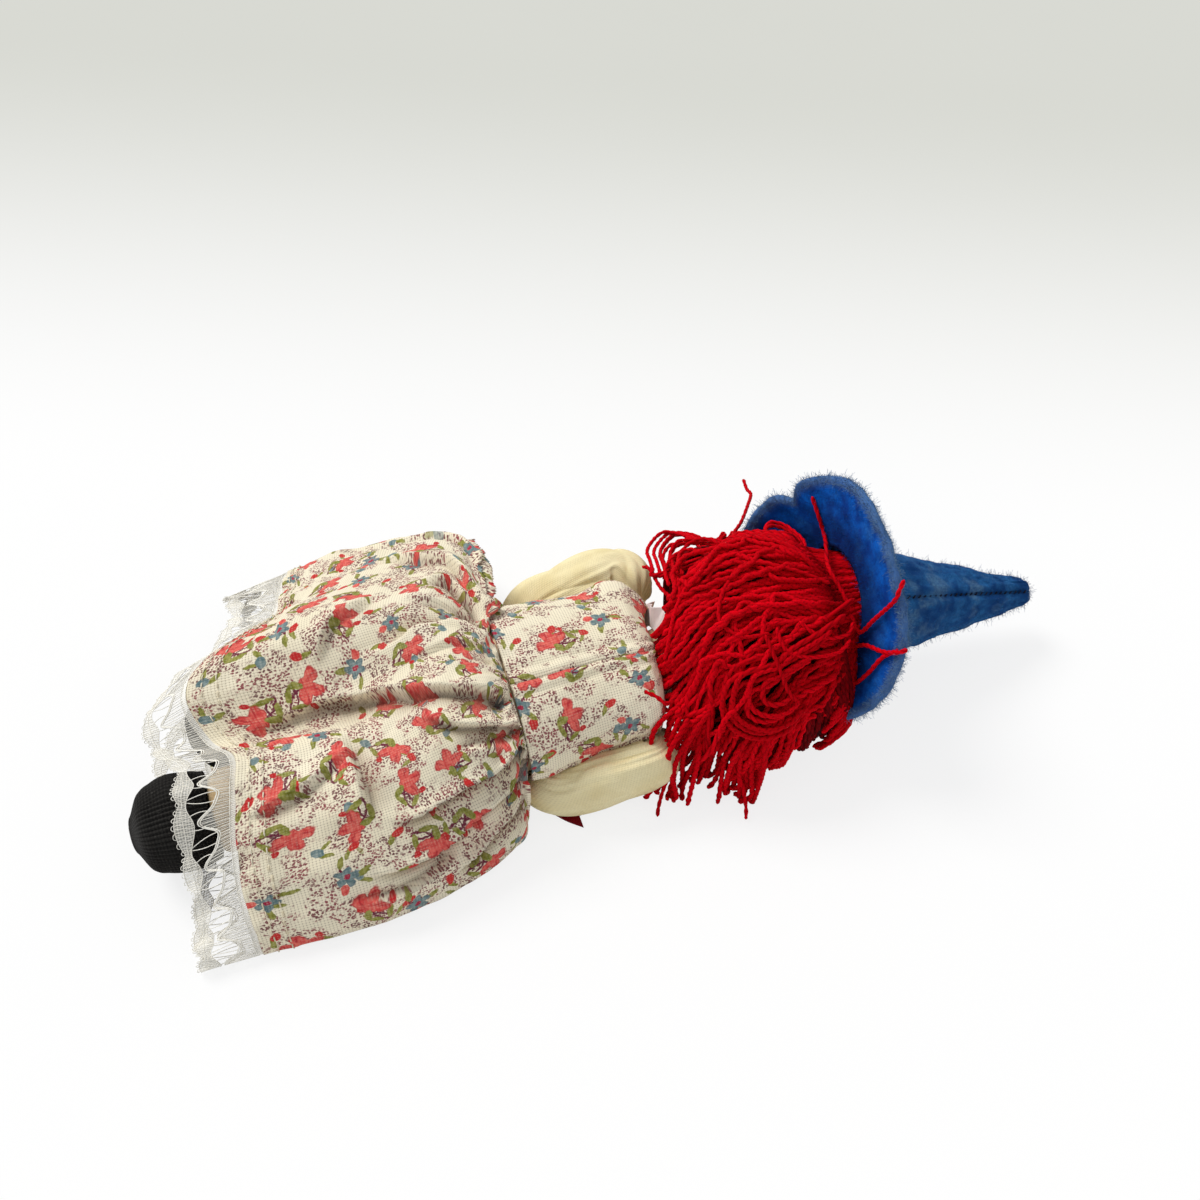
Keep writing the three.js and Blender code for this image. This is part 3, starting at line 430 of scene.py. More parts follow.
class Paint:
    """A material and the nodes that make it."""

    def __init__(self, name, **fixed):
        self.material = bpy.data.materials.new(name)
        self.material.use_nodes = True
        self.tree = self.material.node_tree
        self.shader = self.tree.nodes["Principled BSDF"]
        for key, value in {"Specular_IOR_Level": 0.15, **fixed}.items():
            self.shader.inputs[key.replace("_", " ")].default_value = value

    def node(self, kind, settings=None, inputs=None, output=0):
        """Any node: its type, its settings, and its sockets' values or links."""
        made = self.tree.nodes.new("ShaderNode" + kind)
        for key, value in (settings or {}).items():
            setattr(made, key, value)
        for key, value in (inputs or {}).items():
            if isinstance(value, Wire):
                self.tree.links.new(value.socket, made.inputs[key])
            else:
                made.inputs[key].default_value = value
        return Wire(self, made.outputs[output])

    def math(self, operation, *values):
        return self.node("Math", {"operation": operation}, dict(enumerate(values)))

    def vector(self, operation, *values):
        return self.node("VectorMath", {"operation": operation}, dict(enumerate(values)))

    def set(self, **links):
        """Links worked-out values to the shader."""
        for key, value in links.items():
            self.tree.links.new(value.socket, self.shader.inputs[key.replace("_", " ")])

    def coords(self, output="Object"):
        return self.node("TexCoord", output=output)

    def millimetres(self):
        """The object's coordinates, which are metres, in millimetres."""
        return self.node("VectorMath", {"operation": "SCALE"}, {0: self.coords(), "Scale": 1000.0})

    def split(self, vector):
        made = self.node("SeparateXYZ", inputs={"Vector": vector})
        outputs = made.socket.node.outputs
        return [Wire(self, outputs[k]) for k in range(3)]

    def join(self, x, y, z=0.0):
        return self.node("CombineXYZ", inputs={"X": x, "Y": y, "Z": z})

    def step(self, value, low, high):
        """0 below low and 1 above high, with a soft edge."""
        return self.node("MapRange", {"interpolation_type": "SMOOTHSTEP"},
                         {"Value": value, "From Min": low, "From Max": high})

    def mix(self, factor, a, b):
        """Two colours mixed, given as Python tuples or wires."""
        return self.node("Mix", {"data_type": "RGBA"}, {0: factor, 6: a, 7: b}, 2)

    def over(self, color, *layers):
        """Layers of mask and ink laid over a colour, one after another."""
        for mask, ink in layers:
            color = self.mix(mask, color, ink)
        return color

    def noise(self, vector, scale, detail=2.0, output="Fac", roughness=0.5):
        return self.node("TexNoise", inputs={
            "Vector": vector, "Scale": scale, "Detail": detail, "Roughness": roughness},
            output=output)

    def attribute(self, name):
        return self.node("Attribute", {"attribute_name": name}, output="Fac")

    def bump(self, height, distance, strength=1.0):
        """Relief: height times distance in metres, into the shader's normal."""
        self.set(Normal=self.node("Bump", inputs={
            "Height": height, "Distance": distance, "Strength": strength}))


def rgb(red, green, blue):
    """A colour as seen on a screen, 0 to 255, turned into the light that it stands for."""
    screen = np.array([red, green, blue]) / 255
    light = np.where(screen <= 0.04045, screen / 12.92, ((screen + 0.055) / 1.055) ** 2.4)
    return (*light.tolist(), 1.0)


print("cream is", [round(c, 3) for c in rgb(232, 222, 205)])

# %% [markdown]
# ## Calico: a small flower print on plain weave
#
# The cloth is cream cotton with loose sprigs: coral flowers, teal florets, olive leaves on
# thin burgundy stems, and clouds of small burgundy dots. Each kind of motif has its own
# lattice of cells that are moved a little at random, and is drawn in its cell with its own
# turn. The coordinates are the cloth's UVs in millimetres, so the print follows the folds.

# %% Draw motifs in cells
def calico_paint():
    """Weave, dots, leaves, stems and flowers, laid over each other like the printer's screens,
    with painted shade in the weave's gaps and in the skirt's creases.
    """
    paint = Paint("calico", Roughness=0.92)
    uv = paint.coords("UV")

    def shaken(vector, scale, reach):
        """The vector moved by up to half the reach, by a noise of that scale."""
        drift = paint.vector("SUBTRACT", paint.noise(uv, scale, 1.0, "Color"), (0.5, 0.5, 0.5))
        return paint.vector("MULTIPLY_ADD", drift, (reach, reach, 0), vector)

    shaky = shaken(shaken(uv, 0.045, 5.0), 0.8, 0.9)

    def voronoi(vector, scale, jitter, output):
        """Cells with a point each: something about the nearest point, and its random colour."""
        near = paint.node("TexVoronoi", {"voronoi_dimensions": "2D"}, {
            "Vector": vector, "Scale": scale, "Randomness": jitter}, output)
        return near, paint.split(Wire(paint, near.socket.node.outputs["Color"]))

    def cell(size, jitter, shift):
        """Place inside a cell, in millimetres and turned at random, and three random values."""
        vector = paint.vector("MULTIPLY_ADD", shaky, (1 / size, 1 / size, 0),
                              (shift, shift * 0.61, 0))
        near, luck = voronoi(vector, 1.0, jitter, "Position")
        x, y, _ = paint.split(paint.vector("SUBTRACT", vector, near))
        c, s = (luck[0] * TAU).math("COSINE"), (luck[0] * TAU).math("SINE")
        return ((x * c + y * s) * size, (y * c - x * s) * size), luck

    def polar(place, x=0.0, y=0.0):
        """Distance from x, y and the angle round it."""
        px, py = place[0] - x, place[1] - y
        return (px * px + py * py).math("SQRT"), py.math("ARCTAN2", px)

    def ellipse(place, x, y, long, wide, degrees):
        """Mask of a leaf shape: 1 inside an ellipse at x, y, turned by some degrees."""
        px, py = place[0] - x, place[1] - y
        c, s = math.cos(math.radians(degrees)), math.sin(math.radians(degrees))
        along = (px * c + py * s) / long
        across = (py * c - px * s) / wide
        return paint.step(along * along + across * across, 1.25, 0.8)

    def fan(place, x, y, reach, petals, open_share):
        """Mask of a flower head: a disc whose rim waves with the petals, and its radius share."""
        far, turn = polar(place, x, y)
        petal = (turn * (petals / 2)).math("COSINE").math("ABSOLUTE")
        rim = petal * 0.5 + (turn * 9).math("SINE") * 0.06 + 0.54
        half_open = TAU / 2 * open_share
        back = paint.step(turn.math("ABSOLUTE"), half_open + 0.3, half_open - 0.3)
        share = far / (rim * (back * 0.62 + 0.38) * reach)
        return paint.step(share, 1.06, 0.9), share, turn

    def stem(place, x, y, radius, width, degrees, spread):
        """Mask of a thin arc round x, y."""
        far, turn = polar(place, x, y)
        turn = (turn - math.radians(degrees)).math("WRAP", TAU / 2, -TAU / 2).math("ABSOLUTE")
        line = paint.step((far - radius).math("ABSOLUTE"), width, width * 0.5)
        return line * paint.step(turn, math.radians(spread) + 0.12, math.radians(spread) - 0.05)

    ground = paint.mix(paint.noise(uv, 0.05, 2.0), rgb(251, 243, 220), rgb(243, 232, 202))
    u, v, _ = paint.split(uv)
    warp, weft = ((place * (TAU / 1.4)).math("SINE").math("ABSOLUTE") for place in (u, v))
    slub = paint.noise(paint.join(u * 0.15, v * 2.2), 1.0, 2.0) + paint.noise(
        paint.join(u * 2.2, v * 0.15, 4.0), 1.0, 2.0)
    beside_warp, beside_weft = paint.step(warp, 0.62, 0.15), paint.step(weft, 0.62, 0.15)
    gaps = beside_warp + beside_weft
    pinholes = beside_warp * beside_weft
    thread = slub * 0.8 - gaps * 0.4
    # Painted shade: the gaps between the threads and the pinholes where they cross are darkened
    # towards brown.
    color = paint.mix(gaps * (slub * 0.12 + 0.02) + pinholes * 0.42, ground, rgb(120, 96, 72))

    cloud = paint.step(paint.noise(uv, 0.13, 3.0), 0.45, 0.51)
    dots, (big, _, _) = voronoi(shaky, 1.2, 1.0, "Distance")
    dot = paint.step(dots, 0.4, 0.26) * paint.step(big, 0.26, 0.32)
    curl, luck = cell(3.1, 0.7, 1.3)
    far, turn = polar(curl)
    rim = paint.step((far - (luck[1] * 0.5 + 0.65)).math("ABSOLUTE"), 0.26, 0.1)
    broken = paint.step((turn * 3.5).math("SINE").math("ABSOLUTE"), 0.25, 0.6)
    ring = rim * broken * paint.step(turn, 2.9, 2.4)
    middle = paint.step(far, 0.3, 0.15)
    dot = dot.math("MAXIMUM", ring).math("MAXIMUM", middle) * cloud
    color = paint.over(color, (cloud * 0.08, rgb(222, 186, 178)),
                       (dot * 0.9, paint.mix(luck[2], rgb(88, 4, 36), rgb(140, 24, 54))))

    burgundy = rgb(112, 40, 62)
    coral, teal, olive = (
        paint.mix(paint.step(paint.noise(uv, scale, 2.0), 0.35, 0.65), rgb(*one), rgb(*other))
        for scale, one, other in ((0.9, (214, 74, 72), (232, 112, 100)),
                                  (0.8, (94, 120, 124), (136, 154, 154)),
                                  (0.9, (122, 124, 46), (160, 158, 84))))

    small, luck = cell(9.6, 0.62, 3.7)
    some = paint.step(luck[1], 0.36, 0.38)
    bud = ellipse(small, 0, 0, 1.5, 1.05, 20) * some
    leafy = ellipse(small, 1.9, 1.2, 1.7, 0.6, 60) * some
    twin = ellipse(small, -0.9, 1.9, 1.5, 0.5, 110) * paint.step(luck[2], 0.4, 0.42) * some
    is_teal = paint.step(luck[2], 0.5, 0.52)
    color = paint.over(color, (leafy, olive), (twin, olive),
                       (bud, paint.mix(is_teal, rgb(200, 48, 48), teal)))

    sprig, luck = cell(14.2, 0.5, 0.0)
    kind = paint.step(luck[1], 0.56, 0.58)
    head, share, turn = fan(sprig, -0.6, 1.2, 4.6, 5, 0.62)
    lines = paint.step((turn * 5.5 + share * 2.0).math("SINE"), 0.75, 0.98)
    lines = lines * paint.step(share, 0.25, 0.6) * 0.7
    veins = (paint.step(share, 0.76, 0.96) * 0.8).math("MAXIMUM", lines)
    coral_sprig = paint.over(
        color,
        (stem(sprig, 1.8, -3.4, 4.6, 0.38, 150, 58), burgundy),
        (stem(sprig, -4.6, -3.2, 3.4, 0.34, 20, 60), burgundy),
        (ellipse(sprig, -3.6, -2.0, 2.1, 0.7, 105), olive),
        (ellipse(sprig, -0.4, -4.1, 2.1, 0.7, 30), olive),
        (ellipse(sprig, 2.4, -3.0, 0.95, 0.75, 0), rgb(196, 44, 48)),
        (head, paint.mix(veins, coral, rgb(178, 38, 50))),
        (ellipse(sprig, -2.7, 0.5, 1.7, 0.95, 20), olive))

    floret, share, _ = fan(sprig, 0.9, 0.5, 2.7, 5, 1.2)
    teal_sprig = paint.over(
        color,
        (stem(sprig, -2.6, -0.6, 3.1, 0.36, 0, 80), burgundy),
        (ellipse(sprig, -1.6, 2.6, 1.8, 0.7, 150), olive),
        (ellipse(sprig, -1.4, -3.4, 1.8, 0.65, 40), olive),
        (ellipse(sprig, 3.6, 2.3, 1.3, 0.95, 40), coral),
        (floret, paint.mix(paint.step(share, 0.6, 1.0) * 0.5, teal, rgb(78, 98, 110))),
        (ellipse(sprig, 0.9, 0.5, 0.75, 0.65, 0), rgb(170, 40, 70)))

    print_color = paint.mix(kind, coral_sprig, teal_sprig)
    worn = paint.mix(paint.step(thread, 0.62, 1.1) * 0.22, print_color, ground)
    # Painted shade: the colour is darkened towards brown where the mesh marks the skirt's creases
    # and gathers.
    worn = paint.mix(paint.attribute("painted_crease_shade") * 0.55, worn, rgb(112, 82, 66))
    paint.set(Base_Color=worn)
    paint.bump(thread, 0.00016, 0.7)
    return paint.material


calico = calico_paint()
print("calico nodes:", len(calico.node_tree.nodes))

# %% [markdown]
# ## The other finishes
#
# Each cloth shows its own threads: fine twill on the sleeves, open plain weave on the body,
# lengthwise ribs on the knit shoes, long fibres on felt. Real cloth is never one colour, so
# a slow noise shifts every base colour a little.

# %% Plain woven cloths
def woven(name, light, dark, pitch, twill=0.0, relief=0.0001, on_uv=False):
    """Two sets of crossing threads, with slow stains. A twill moves each pick sideways. The
    threads follow the sheet's UVs, or a slanted cut through space for a padded piece."""
    paint = Paint(name, Roughness=0.93)
    place = paint.coords("UV") if on_uv else paint.millimetres()
    x, y, z = paint.split(place)
    if not on_uv:
        x = x + z * 0.3
        y = y + z * 0.8
    warp = ((x + y * twill) * (TAU / pitch)).math("SINE")
    weft = ((y * 0.6 - x * twill if twill else y) * (TAU / pitch)).math("SINE")
    slub = paint.noise(place, 1.3, 2.0)
    height = warp * weft * 0.5 + slub * 0.7
    stain = paint.noise(place, 0.09, 3.0)
    base = paint.mix(paint.step(stain, 0.35, 0.7), light, dark)
    shade = [c * 0.72 for c in dark[:3]] + [1.0]
    paint.set(Base_Color=paint.mix(paint.step(height, 0.3, 1.1) * 0.45, base, shade))
    paint.bump(height, relief, 0.5)
    return paint.material


body_cloth = woven("body cloth", rgb(229, 203, 166), rgb(216, 186, 146), 0.5)
leg_cloth = woven("leg cloth", rgb(214, 190, 150), rgb(188, 160, 120), 0.62, relief=0.00018)
sleeve_cotton = woven("sleeve cotton", rgb(246, 234, 190), rgb(234, 218, 168), 0.85,
                      twill=0.5, relief=0.0002, on_uv=True)
collar_cotton = woven("collar cotton", rgb(240, 228, 224), rgb(226, 206, 204), 0.4, on_uv=True)
cream_thread = woven("cream thread", rgb(240, 232, 210), rgb(226, 214, 186), 0.3)
print("woven cloths:", body_cloth.name, leg_cloth.name, sleeve_cotton.name, collar_cotton.name)


# %% Yarn, knit, felt, satin, lace, wadding and beads
def yarn_paint(name, light, dark, deep):
    """Crimson wool: painted shade in the groove between its two plies, with each strand a
    little lighter or darker than the next."""
    paint = Paint(name, Roughness=0.85, Specular_IOR_Level=0.05)
    place = paint.millimetres()
    fleck = paint.step(paint.noise(place, 2.4, 2.0), 0.35, 0.7)
    paint.set(Base_Color=paint.over(
        light, (paint.attribute("thread"), dark), (fleck * 0.4, dark),
        (paint.step(paint.attribute("groove"), 0.0, -0.9) * 0.6, deep)))
    paint.bump(paint.noise(place, 7.0, 2.0), 0.00012, 0.6)
    return paint.material


def knit_paint():
    """Black ribbed knit: ribs are in the mesh, and fine loops in the relief."""
    paint = Paint("shoe knit", Roughness=0.95, Sheen_Weight=0.04)
    u, v, _ = paint.split(paint.coords("UV"))
    loops = (v * (TAU / 0.9)).math("SINE") * 0.12 + paint.noise(paint.join(u, v), 2.5, 2.0)
    lint = paint.step(paint.noise(paint.join(u, v, 3.0), 0.9, 4.0), 0.66, 0.74)
    base = paint.mix(paint.step(loops, 0.2, 1.2), rgb(26, 25, 24), rgb(62, 60, 57))
    paint.set(Base_Color=paint.mix(lint * 0.3, base, rgb(104, 102, 98)))
    paint.bump(loops, 0.00015, 0.7)
    return paint.material


def felt_paint(name, light, dark, pale):
    """Pressed wool: fibres in every direction, mottled dye, pale worn patches, painted shade
    where the mesh says that it is near the seam, and a paler part at the rim."""
    paint = Paint(name, Roughness=1.0)
    place = paint.millimetres()
    bend = paint.vector("MULTIPLY_ADD", paint.noise(place, 0.35, 2.0, "Color"), (3.5, 3.5, 3.5),
                        place)
    fibre = paint.noise(bend, 1.6, 6.0, roughness=0.7)
    mottle = paint.noise(place, 0.2, 4.0, roughness=0.6)
    worn = paint.step(paint.noise(bend, 0.13, 5.0), 0.5, 0.7)
    paint.set(Base_Color=paint.over(
        dark, (paint.step(mottle, 0.35, 0.65), light), (worn * 0.5, pale),
        (paint.step(fibre, 0.42, 0.6) * 0.5, dark), (paint.step(fibre, 0.58, 0.72) * 0.35, pale),
        # painted shade near the seam, next to the head
        (paint.attribute("painted_seam_shade") * 0.75, rgb(3, 22, 76)),
        (paint.attribute("rim") * 0.6, rgb(96, 128, 162))))
    paint.bump(fibre, 0.0006, 0.7)
    return paint.material


def satin_paint():
    """Dark red ribbon: fine lines across, with a soft gloss."""
    paint = Paint("ribbon satin", Roughness=0.45)
    u, v, _ = paint.split(paint.coords("UV"))
    ribs = (v * (TAU / 0.4)).math("SINE")
    shade = paint.noise(paint.join(u * 0.3, v * 2.0), 1.0, 2.0)
    paint.set(Base_Color=paint.mix(shade, rgb(150, 14, 28), rgb(104, 6, 18)))
    paint.bump(ribs, 0.00006, 0.5)
    return paint.material


def plain_paint(name, light, dark, scale, roughness, relief, **fixed):
    """A finish with one mottled colour and a matching relief."""
    paint = Paint(name, Roughness=roughness, **fixed)
    grain = paint.noise(paint.millimetres(), scale, 4.0)
    paint.set(Base_Color=paint.mix(paint.step(grain, 0.3, 0.7), light, dark))
    paint.bump(grain, relief, 0.6)
    return paint.material


yarn = yarn_paint("yarn", rgb(230, 0, 22), rgb(190, 0, 14), rgb(92, 0, 6))
# Painted shade: a darker copy of the yarn, for the lowest strands and those combed down the head's
# sides.
shaded_yarn = yarn_paint("yarn in painted shade", rgb(142, 0, 10), rgb(100, 0, 7), rgb(36, 0, 3))
shoe_knit = knit_paint()
felt_blue = felt_paint("felt underside", rgb(4, 100, 204), rgb(2, 60, 148), rgb(48, 124, 206))
felt_faded = felt_paint("felt outside", rgb(40, 102, 160), rgb(12, 62, 120), rgb(104, 140, 166))
felt_fuzz = plain_paint("felt fuzz", rgb(116, 146, 178), rgb(74, 112, 156), 0.4, 1.0, 0.0001)
ribbon_satin = satin_paint()
wadding = plain_paint("wadding", rgb(240, 237, 228), rgb(222, 218, 206), 1.2, 1.0, 0.0006)
eye_bead = plain_paint("eye bead", rgb(14, 14, 15), rgb(22, 21, 22), 0.4, 0.22, 0.00001,
                       Coat_Weight=0.6)
dark_thread = plain_paint("dark thread", rgb(30, 34, 52), rgb(18, 20, 34), 3.0, 0.8, 0.0001)
red_thread = plain_paint("red thread", rgb(150, 30, 40), rgb(120, 20, 30), 3.0, 0.8, 0.0001)
print("finishes:", len(bpy.data.materials))

# %% [markdown]
# ## Padded limbs by cloth simulation
#
# A stuffed limb is a sewn skin under pressure. A modeller could sculpt its swellings, but
# blowing it up is closer to the truth: the shape is remeshed into even cells, Blender's
# Cloth swells it a little from inside, and the result is kept as the mesh. The work is done
# ten times too large, because the solver is made for things the size of a garment.

# %% Stuff a shape
SIM_SCALE, SIM_FRAMES = 10.0, 20
PRESSURE, STRETCH_STIFFNESS, BENDING_STIFFNESS = 4.0, 20, 2


def vertex_values(mesh, key):
    """The places ("co") or the normals of a mesh's vertices, a row for each."""
    values = np.empty(len(mesh.vertices) * 3)
    mesh.vertices.foreach_get(key, values)
    return values.reshape(-1, 3)


def mesh_points(obj):
    """The places of the vertices of an object, after its modifiers."""
    seen = obj.evaluated_get(bpy.context.evaluated_depsgraph_get())
    return vertex_values(seen.to_mesh(), "co")


def apply_modifiers(obj):
    """Keeps what the modifiers make as the object's own mesh."""
    graph = bpy.context.evaluated_depsgraph_get()
    made = bpy.data.meshes.new_from_object(obj.evaluated_get(graph))
    old = obj.data
    obj.modifiers.clear()
    obj.data = made
    made.name = old.name + "_final"
    bpy.data.meshes.remove(old)
    made.shade_smooth()


def stuffed(name, points, shrink=0.35, cap=0.7, voxel=1.5):
    """A closed grid of waist millimetres, made slightly smaller, remeshed and blown up by at
    most the cap."""
    obj = surface(name, points, wrap_cols=True, ends=True)
    co = mesh_points(obj)
    co = (co - vertex_values(obj.data, "normal") * shrink * MM - WAIST) * SIM_SCALE
    obj.data.vertices.foreach_set("co", co.ravel())
    remesh = obj.modifiers.new("cells", "REMESH")
    remesh.mode = "VOXEL"
    remesh.voxel_size = voxel * MM * SIM_SCALE
    apply_modifiers(obj)
    rest = mesh_points(obj)
    cloth = obj.modifiers.new("stuffing", "CLOTH")
    cloth.settings.use_pressure = True
    cloth.settings.uniform_pressure_force = PRESSURE
    cloth.settings.tension_stiffness = cloth.settings.compression_stiffness = STRETCH_STIFFNESS
    cloth.settings.bending_stiffness = BENDING_STIFFNESS
    cloth.settings.effector_weights.gravity = 0
    cloth.point_cache.frame_start, cloth.point_cache.frame_end = 1, SIM_FRAMES
    for step in range(1, SIM_FRAMES + 1):
        bpy.context.scene.frame_set(step)
    moved = mesh_points(obj) - rest
    far = np.linalg.norm(moved, axis=1, keepdims=True)
    limit = cap * MM * SIM_SCALE
    moved *= np.minimum(1, limit / np.maximum(far, 1e-9))
    obj.modifiers.clear()
    obj.data.vertices.foreach_set("co", ((rest + moved) / SIM_SCALE + WAIST).ravel())
    obj.data.update()
    fine = obj.modifiers.new("finer", "SUBSURF")
    fine.levels = fine.render_levels = 1
    apply_modifiers(obj)
    bpy.context.scene.frame_set(1)
    print(name, "swelled by up to", round(float(far.max()) / SIM_SCALE / MM, 2), "mm")
    return obj


def dress(obj, material, body, slot, *nodes):
    """Material, body, slot (not used) and the CAD nodes that the piece stands for."""
    obj.data.materials.clear()
    obj.data.materials.append(material)
    if body:
        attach(obj, body)
    if nodes:
        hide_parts(*nodes)
    return obj


def along_path(path, wides, talls, steps, around):
    """Rings along a smooth path through a few points, with sides level with the table:
    middle + side x wide x cos + up x tall x sin."""
    share = np.linspace(0, 1, steps)
    middles = spline(path, share)
    ahead = unit(np.gradient(middles, axis=0))
    sides = unit(np.cross([0, 0, 1.0], ahead))
    ups = np.cross(ahead, sides)
    wide, tall = spline(wides, share)[:, None], spline(talls, share)[:, None]
    turn = angles(around)
    return (middles[:, None] + sides[:, None] * (wide * np.cos(turn))[..., None]
            + ups[:, None] * (tall * np.sin(turn))[..., None])


print("stuffing is simulated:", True)

# %% [markdown]
# ## The stuffed torso and neck
#
# Under the dress is a sewn cloth body. It hardly shows, yet it is there when the skirt is
# folded back, so it gets its own woven cloth. Its section is an ellipse whose half width
# and half depth change along the body.

# %% Torso
BODICE_LENGTH = 40
TORSO_WIDTH = 50
TORSO_DEPTH = 29.6
TORSO_HEIGHT = 21.5
HIP_HEIGHT = 15
NECK_HEIGHT = 25.5
NECK_RISE_SHARE = 0.7
HEAD_SIDEWAYS = 3.5
GAP = 0.3
torso_along_shares = [0, 0.09, 0.19, 0.31, 0.43, 0.56, 0.69, 0.8, 0.88, 0.935, 0.975, 1]
torso_width_shares = [0.8, 0.88, 0.96, 1, 1, 0.96, 0.92, 0.89, 0.86, 0.79, 0.6, 0.36]
torso_depth_shares = [0.02, 0.44, 0.81, 1, 1, 1, 0.98, 0.95, 0.9, 0.82, 0.7, 0.56]


def torso_point(along, turn, outside):
    """Body section: middle + half width x sin(turn) sideways + half depth x cos(turn) up."""
    share = (along + HIP_LENGTH) / (BODICE_LENGTH + HIP_LENGTH)
    wide = np.interp(share, torso_along_shares, torso_width_shares) * TORSO_WIDTH / 2 + outside
    deep = np.interp(share, torso_along_shares, torso_depth_shares) * TORSO_DEPTH / 2 + outside
    rise = smoothstep(share, NECK_RISE_SHARE, 1)
    low = lerp(HIP_HEIGHT, TORSO_HEIGHT,
               np.minimum(share * (BODICE_LENGTH + HIP_LENGTH) / HIP_LENGTH, 1))
    return np.stack([along + 0 * turn, wide * np.sin(turn) - HEAD_SIDEWAYS * rise,
                     lerp(low, NECK_HEIGHT, rise) + deep * np.cos(turn)], -1)


along, turn = grid(np.linspace(-HIP_LENGTH, BODICE_LENGTH, 60), angles(96))
torso = stuffed("torso_body", torso_point(along, turn, -0.15))
dress(torso, body_cloth, "torso", "body_cloth", "torso")

neck_radius, neck_end = 7.4, 48.4
along, turn = grid(np.linspace(BODICE_LENGTH + GAP, neck_end, 12), angles(48))
crease = neck_radius - 0.35 * np.abs(np.sin(along * 1.1 + np.sin(turn * 3)))
neck = surface("neck_stem", lathe(along, crease, turn, (-HEAD_SIDEWAYS, NECK_HEIGHT)),
               wrap_cols=True, ends=True)
dress(neck, body_cloth, "neck", "body_cloth", "neck")
print("torso points:", len(torso.data.vertices))

# %% [markdown]
# ## Head and face
#
# The head is a stuffed ball, turned from a profile. The photographed doll hides its face
# against the table, so this one is plain: two bead eyes, a small stuffed nose and a short
# stitched smile, on ordinary proportions.

# %% Head
SIDES = (1, "left"), (-1, "right")
HEAD_LENGTH = 49
HEAD_RADIUS = 21.5
HEAD_HEIGHT = 24.5
NECK_LENGTH, HEAD_SINK = 7, 1.5
HEAD_ALONG = BODICE_LENGTH + NECK_LENGTH - HEAD_SINK + HEAD_LENGTH / 2
head_middle = np.array([HEAD_ALONG, -HEAD_SIDEWAYS, HEAD_HEIGHT])
head_along_shares = [0, 0.02, 0.07, 0.15, 0.27, 0.42, 0.56, 0.7, 0.82, 0.91, 0.97, 1]
head_radius_shares = [0, 0.36, 0.6, 0.8, 0.95, 1, 0.99, 0.92, 0.77, 0.57, 0.34, 0]

outside = -0.15
share = (1 - np.cos(np.linspace(0.06, math.pi - 0.06, 72)))[:, None] / 2
radius = np.interp(share, head_along_shares, head_radius_shares) * HEAD_RADIUS + outside
along = head_middle[0] + (share - 0.5) * (HEAD_LENGTH + 2 * outside)
head = stuffed("head_ball", lathe(along, radius, angles(96), head_middle[1:]), voxel=1.6)
dress(head, body_cloth, "head", "body_cloth", "head")


def ball(name, centre, radii):
    """A closed egg: centre + radii x (cos, sin, sin) of two angles."""
    tilt = np.linspace(0.12, math.pi - 0.12, 24)[:, None]
    egg = lathe(np.cos(tilt), np.sin(tilt), angles(32)) * np.asarray(radii)
    return surface(name, np.asarray(centre) + egg, wrap_cols=True, ends=True)


EYE_RADIUS, EYE_SPACING, EYE_BACK = 2.0, 14.0, 2.0
for side, word in SIDES:
    out = EYE_SPACING / 2
    down = math.sqrt(HEAD_RADIUS ** 2 - out ** 2)
    centre = head_middle + [-EYE_BACK, side * out, -down]
    eye = ball(f"eye_bead_{word}", centre, [EYE_RADIUS * 0.97] * 3)
    dress(eye, eye_bead, "head", "eye_bead", f"eye_{word}")
nose = ball("nose_bump", head_middle + [0, 0, -HEAD_RADIUS + 0.1], [3.1, 2.5, 2.45])
dress(nose, body_cloth, "head", "body_cloth", "nose")

smile = np.linspace(-1, 1, 9)
start = np.stack([head_middle[0] - 11.5 + 1.6 * smile ** 2, head_middle[1] + 6.5 * smile,
                  0 * smile], -1)


def on_head(points, lift):
    """Points moved to the head's underside, a little outside its cloth."""
    share = (points[..., 0] - head_middle[0]) / HEAD_LENGTH + 0.5
    radius = np.interp(share, head_along_shares, head_radius_shares) * HEAD_RADIUS + lift
    across = points[..., 1] - head_middle[1]
    down = np.sqrt(np.maximum(radius ** 2 - across ** 2, 0))
    return np.stack([points[..., 0], points[..., 1], head_middle[2] - down], -1)


stitch_arc = (0.08, -0.2), (0.25, 0.25), (0.5, 0.35), (0.75, 0.25), (0.92, -0.2)
stitches = np.stack([on_head(lerp(start[:-1], start[1:], share), lift)
                     for share, lift in stitch_arc], 1)
mouth = threads("mouth_stitches", stitches, 0.28)
dress(mouth, red_thread, "head", "yarn")
print("head at", head_middle)

# %% [markdown]
# ## Arms, legs and shoes
#
# A sewn limb is a tapering tube along a gently bent path. The hands are flat mittens. The
# shoes are the ends of knitted stockings, so their ribs run along the foot and gather over
# its tip: the ribs are real ridges in the mesh.

# %% Arms
SHOULDER_ALONG, SHOULDER_OUT, SHOULDER_HEIGHT, SHOULDER_TILT = 40, 28.8, 16.5, 3
LEFT_SPREAD, RIGHT_DRAW, RIGHT_PRESS = 1.4, 8, 1.2
ARM_RADIUS, WRIST_RADIUS, HAND_RADIUS = 5.5, 3.6, 4.4
ELBOW = (27, 12.2)
CUFF = (16, 26.8, 8.2)
HAND = (9, 18.5, 5.8)
MITTEN_FLATNESS = 0.8
arm_radius_shares = np.array([0.3, 0.96, 1, 0.98, 0.92])
hand_radius_shares = np.array([1, 0.57, 0.16])


